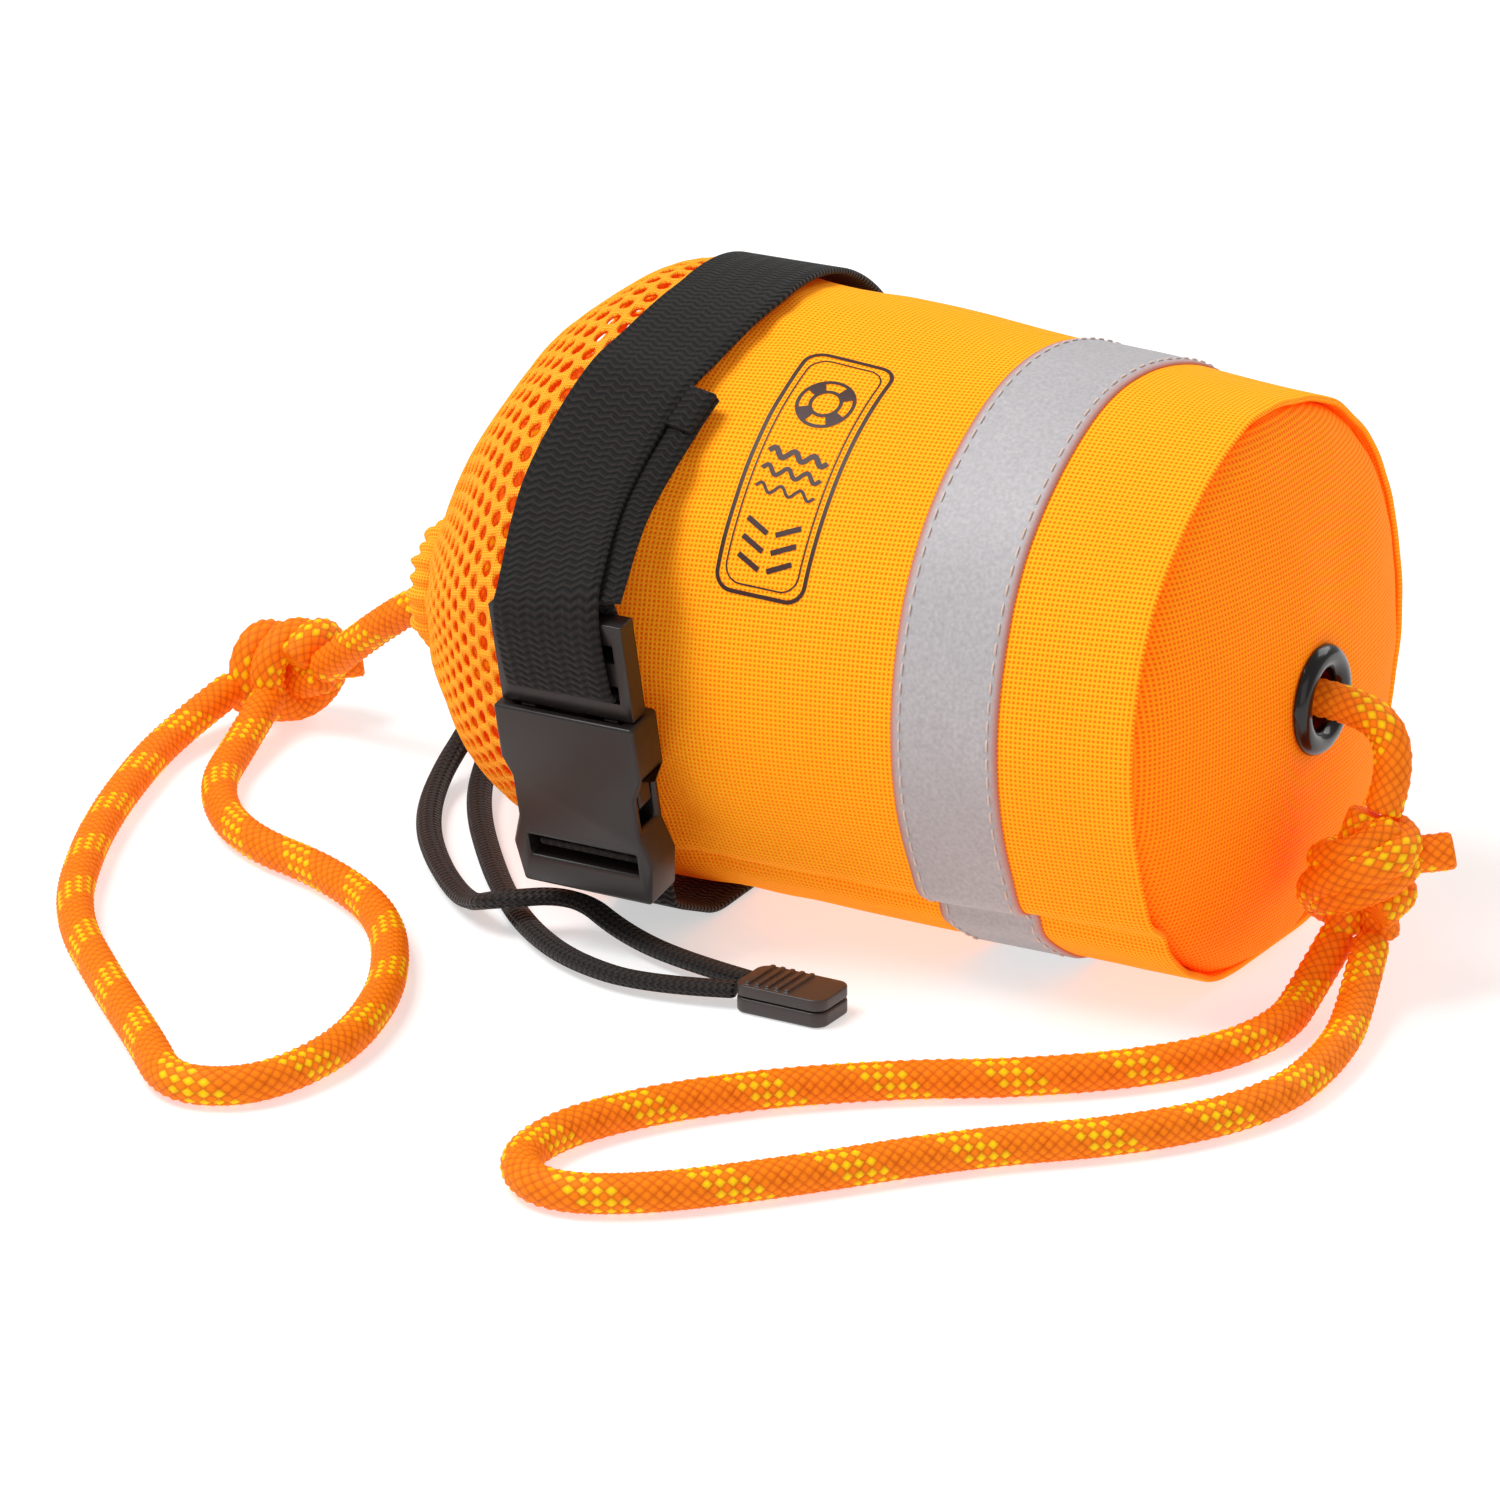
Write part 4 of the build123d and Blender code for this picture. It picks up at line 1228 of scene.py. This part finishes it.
class THROWBAG_OT_webbing(bpy.types.Operator):
    """Belt webbing over and under the bag, its folded tail and its loop round the buckle"""

    bl_idname = "throw_bag.webbing"
    bl_label = "Webbing"

    def execute(self, context):
        width = context.scene.throw_bag.webbing_width / MM
        web = FINISHES["webbing"]
        slot_edge = [buckle_spot(-0.4, 14.6, 2.2), buckle_spot(-0.4, 15.0, 7.9), buckle_spot(-0.4, 16.4, 9.4)]
        foot = buckle_spot(-1.2, 35.5, 9.7)
        lift = belt_spot(45, belt_radius(45))
        hang = [foot.lerp(lift, k / 5) for k in range(1, 5)]
        for point, bow in zip(hang, (-1.2, -2.5, -3.0, -1.8)):
            point.x += bow
        over = [belt_spot(a, belt_radius(a)) for a in range(45, 198, 4)]
        upper = draped_strip("webbing_upper", slot_edge + [foot] + hang + over, width)
        place(upper, web, "black_webbing", "strap_upper")
        upper.parent = None
        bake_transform(upper)

        inward = Vector((0, 1.45, -0.5))
        under_hang = [foot.lerp(hang[0], 0.3)] + hang
        tail_line = [point + inward + Vector((4.6 + 0.5 * k, 0, 0)) for k, point in enumerate(under_hang)]
        tail_end, tail_shift = (46, 49, 52, 54), 7.0
        tail_line += [belt_spot(a, 69.9, tail_shift) for a in tail_end]
        tail = draped_strip("webbing_tail", tail_line, width)
        fold_line = [belt_spot(a, 71.2, tail_shift) for a in tail_end]
        folded = draped_strip("tail_fold", fold_line, width - 0.4)
        tail = place(join([tail, folded], "webbing_tail"), web, "black_webbing", "strap_tail")
        tail.parent = None
        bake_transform(tail)

        lower = [buckle_spot(0, -24.5, 8), buckle_spot(0, -24.5, -0.8)]
        lower += [Vector((0, y, z)) for y, z in ((-57, 9), (-38, 0.95), (-10, 0.95))]
        route = turned(lower, (1.5, 8, 10)) + [Vector((0, y, 0.95)) for y in (8, 22)]
        route += [ring_spot(a, 71.25, 0) for a in (236, 229, 222, 215, 208, 201, 194)]
        route = [Vector((-49.5 - SKEW * p.y, p.y, p.z)) for p in route]
        under = webbing_strip("webbing_lower", route, width, outward=-1)
        place(under, web, "black_webbing", "strap_lower")

        loop = [buckle_spot(-0.4, v, w) for v, w in ((15, 3.2), (16, 1.3), (30, 1.0), (36, 3.4))]
        wrap = webbing_strip("webbing_male_loop", loop, width, 0.5)
        place(wrap, web, "black_webbing", "strap_male_loop", body="male")

        stitches = []
        for angle in (196, 198.5, 201.5, 204):
            for k in range(6):
                start = ring_spot(angle, 71.95, 0)
                start.x = -63 + 3.1 * k
                top = Vector((0, start.y, start.z - AXIS_Z)).normalized()
                stitches.append((start, start + Vector((2.3, 0, 0)), top))
        place(dashes("webbing_tack", stitches, 0.4, 0.3), FINISHES["cord"], "black_webbing", "strap_tack")
        return {"FINISHED"}


class THROWBAG_OT_fittings(bpy.types.Operator):
    """Side-release buckle, grommet, cord lock and cord end, with their edges rounded"""

    bl_idname = "throw_bag.fittings"
    bl_label = "Fittings"

    def execute(self, context):
        for node, bevel, finish, slot, body in (
            ("buckle_female", 1.1, "plastic", "black_acetal", ROOT),
            ("buckle_male", 0.7, "plastic", "black_acetal", "male"),
            ("prong_left", 0.6, "plastic", "black_acetal", "prong_left_body"),
            ("prong_right", 0.6, "plastic", "black_acetal", "prong_right_body"),
            ("grommet_flange", 0.9, "enamel", "black_brass", ROOT),
            ("lock_barrel", 0.9, "plastic", "black_acetal", ROOT),
            ("lock_plunger", 0.7, "plastic", "black_acetal", "plunger"),
            ("cord_end_base", 0.6, "cord_end", "brown_nylon", ROOT),
            ("cord_end_lid", 0.6, "cord_end", "brown_nylon", "end_lid"),
        ):
            piece = rounded_copy(node, bevel, node + "_moulded")
            place(piece, FINISHES[finish], slot, node, body=body)
        coil = []
        turns, per_turn, radius, height = 5, 12, 3.4, 3.9
        for k in range(turns * per_turn + 1):
            turn = math.tau * k / per_turn
            rise = height * k / (turns * per_turn)
            coil.append((-127 + radius * math.cos(turn), 19.6 + rise, 28 + radius * math.sin(turn)))
        spring = sweep_section("lock_coil", centreline(coil, 0.5), oval(0.33, 0.33), 10)
        place(spring, FINISHES["wire"], "spring_steel", "lock_spring")
        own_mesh(spring)

        necks = []
        for x in (-129.5, -124.2):
            line = centreline([(x, 12, 38.5), (x, 15.5, 38), (x, 20, 34)], 0.6)
            frames = carried_frames(line, Vector((1, 0, 0)))
            necks.append(sweep_section("neck", line, oval(2.4, 1.4), 24, frames))
        place(join(necks, "drawcord_neck_pair"), FINISHES["cord"], "black_cord", "drawcord_neck")
        return {"FINISHED"}


class THROWBAG_PT_panel(bpy.types.Panel):
    """Sidebar panel with one button for each group of pieces"""

    bl_label = "Throw Bag"
    bl_idname = "THROWBAG_PT_panel"
    bl_space_type = "VIEW_3D"
    bl_region_type = "UI"
    bl_category = "Throw Bag"

    def draw(self, context):
        for name in BagSettings.__annotations__:
            self.layout.prop(context.scene.throw_bag, name)
        for operator in OPERATORS:
            self.layout.operator(operator.bl_idname)


OPERATORS = (
    THROWBAG_OT_stage,
    THROWBAG_OT_ropes,
    THROWBAG_OT_fittings,
    THROWBAG_OT_drawcord,
    THROWBAG_OT_fabric,
    THROWBAG_OT_tape,
    THROWBAG_OT_print,
    THROWBAG_OT_collar,
    THROWBAG_OT_filling,
    THROWBAG_OT_webbing,
)
CLASSES = (BagSettings, *OPERATORS, THROWBAG_PT_panel)


def register():
    """Register the settings, the operators and the panel."""
    for item in CLASSES:
        bpy.utils.register_class(item)
    bpy.types.Scene.throw_bag = bpy.props.PointerProperty(type=BagSettings)


def unregister():
    """Take the add-on out again."""
    del bpy.types.Scene.throw_bag
    for item in reversed(CLASSES):
        bpy.utils.unregister_class(item)


def main():
    """Build every piece."""
    register()
    for operator in OPERATORS:
        getattr(bpy.ops.throw_bag, operator.bl_idname.split(".")[1])()
    bpy.context.view_layer.update()


if __name__ == "__main__":
    main()
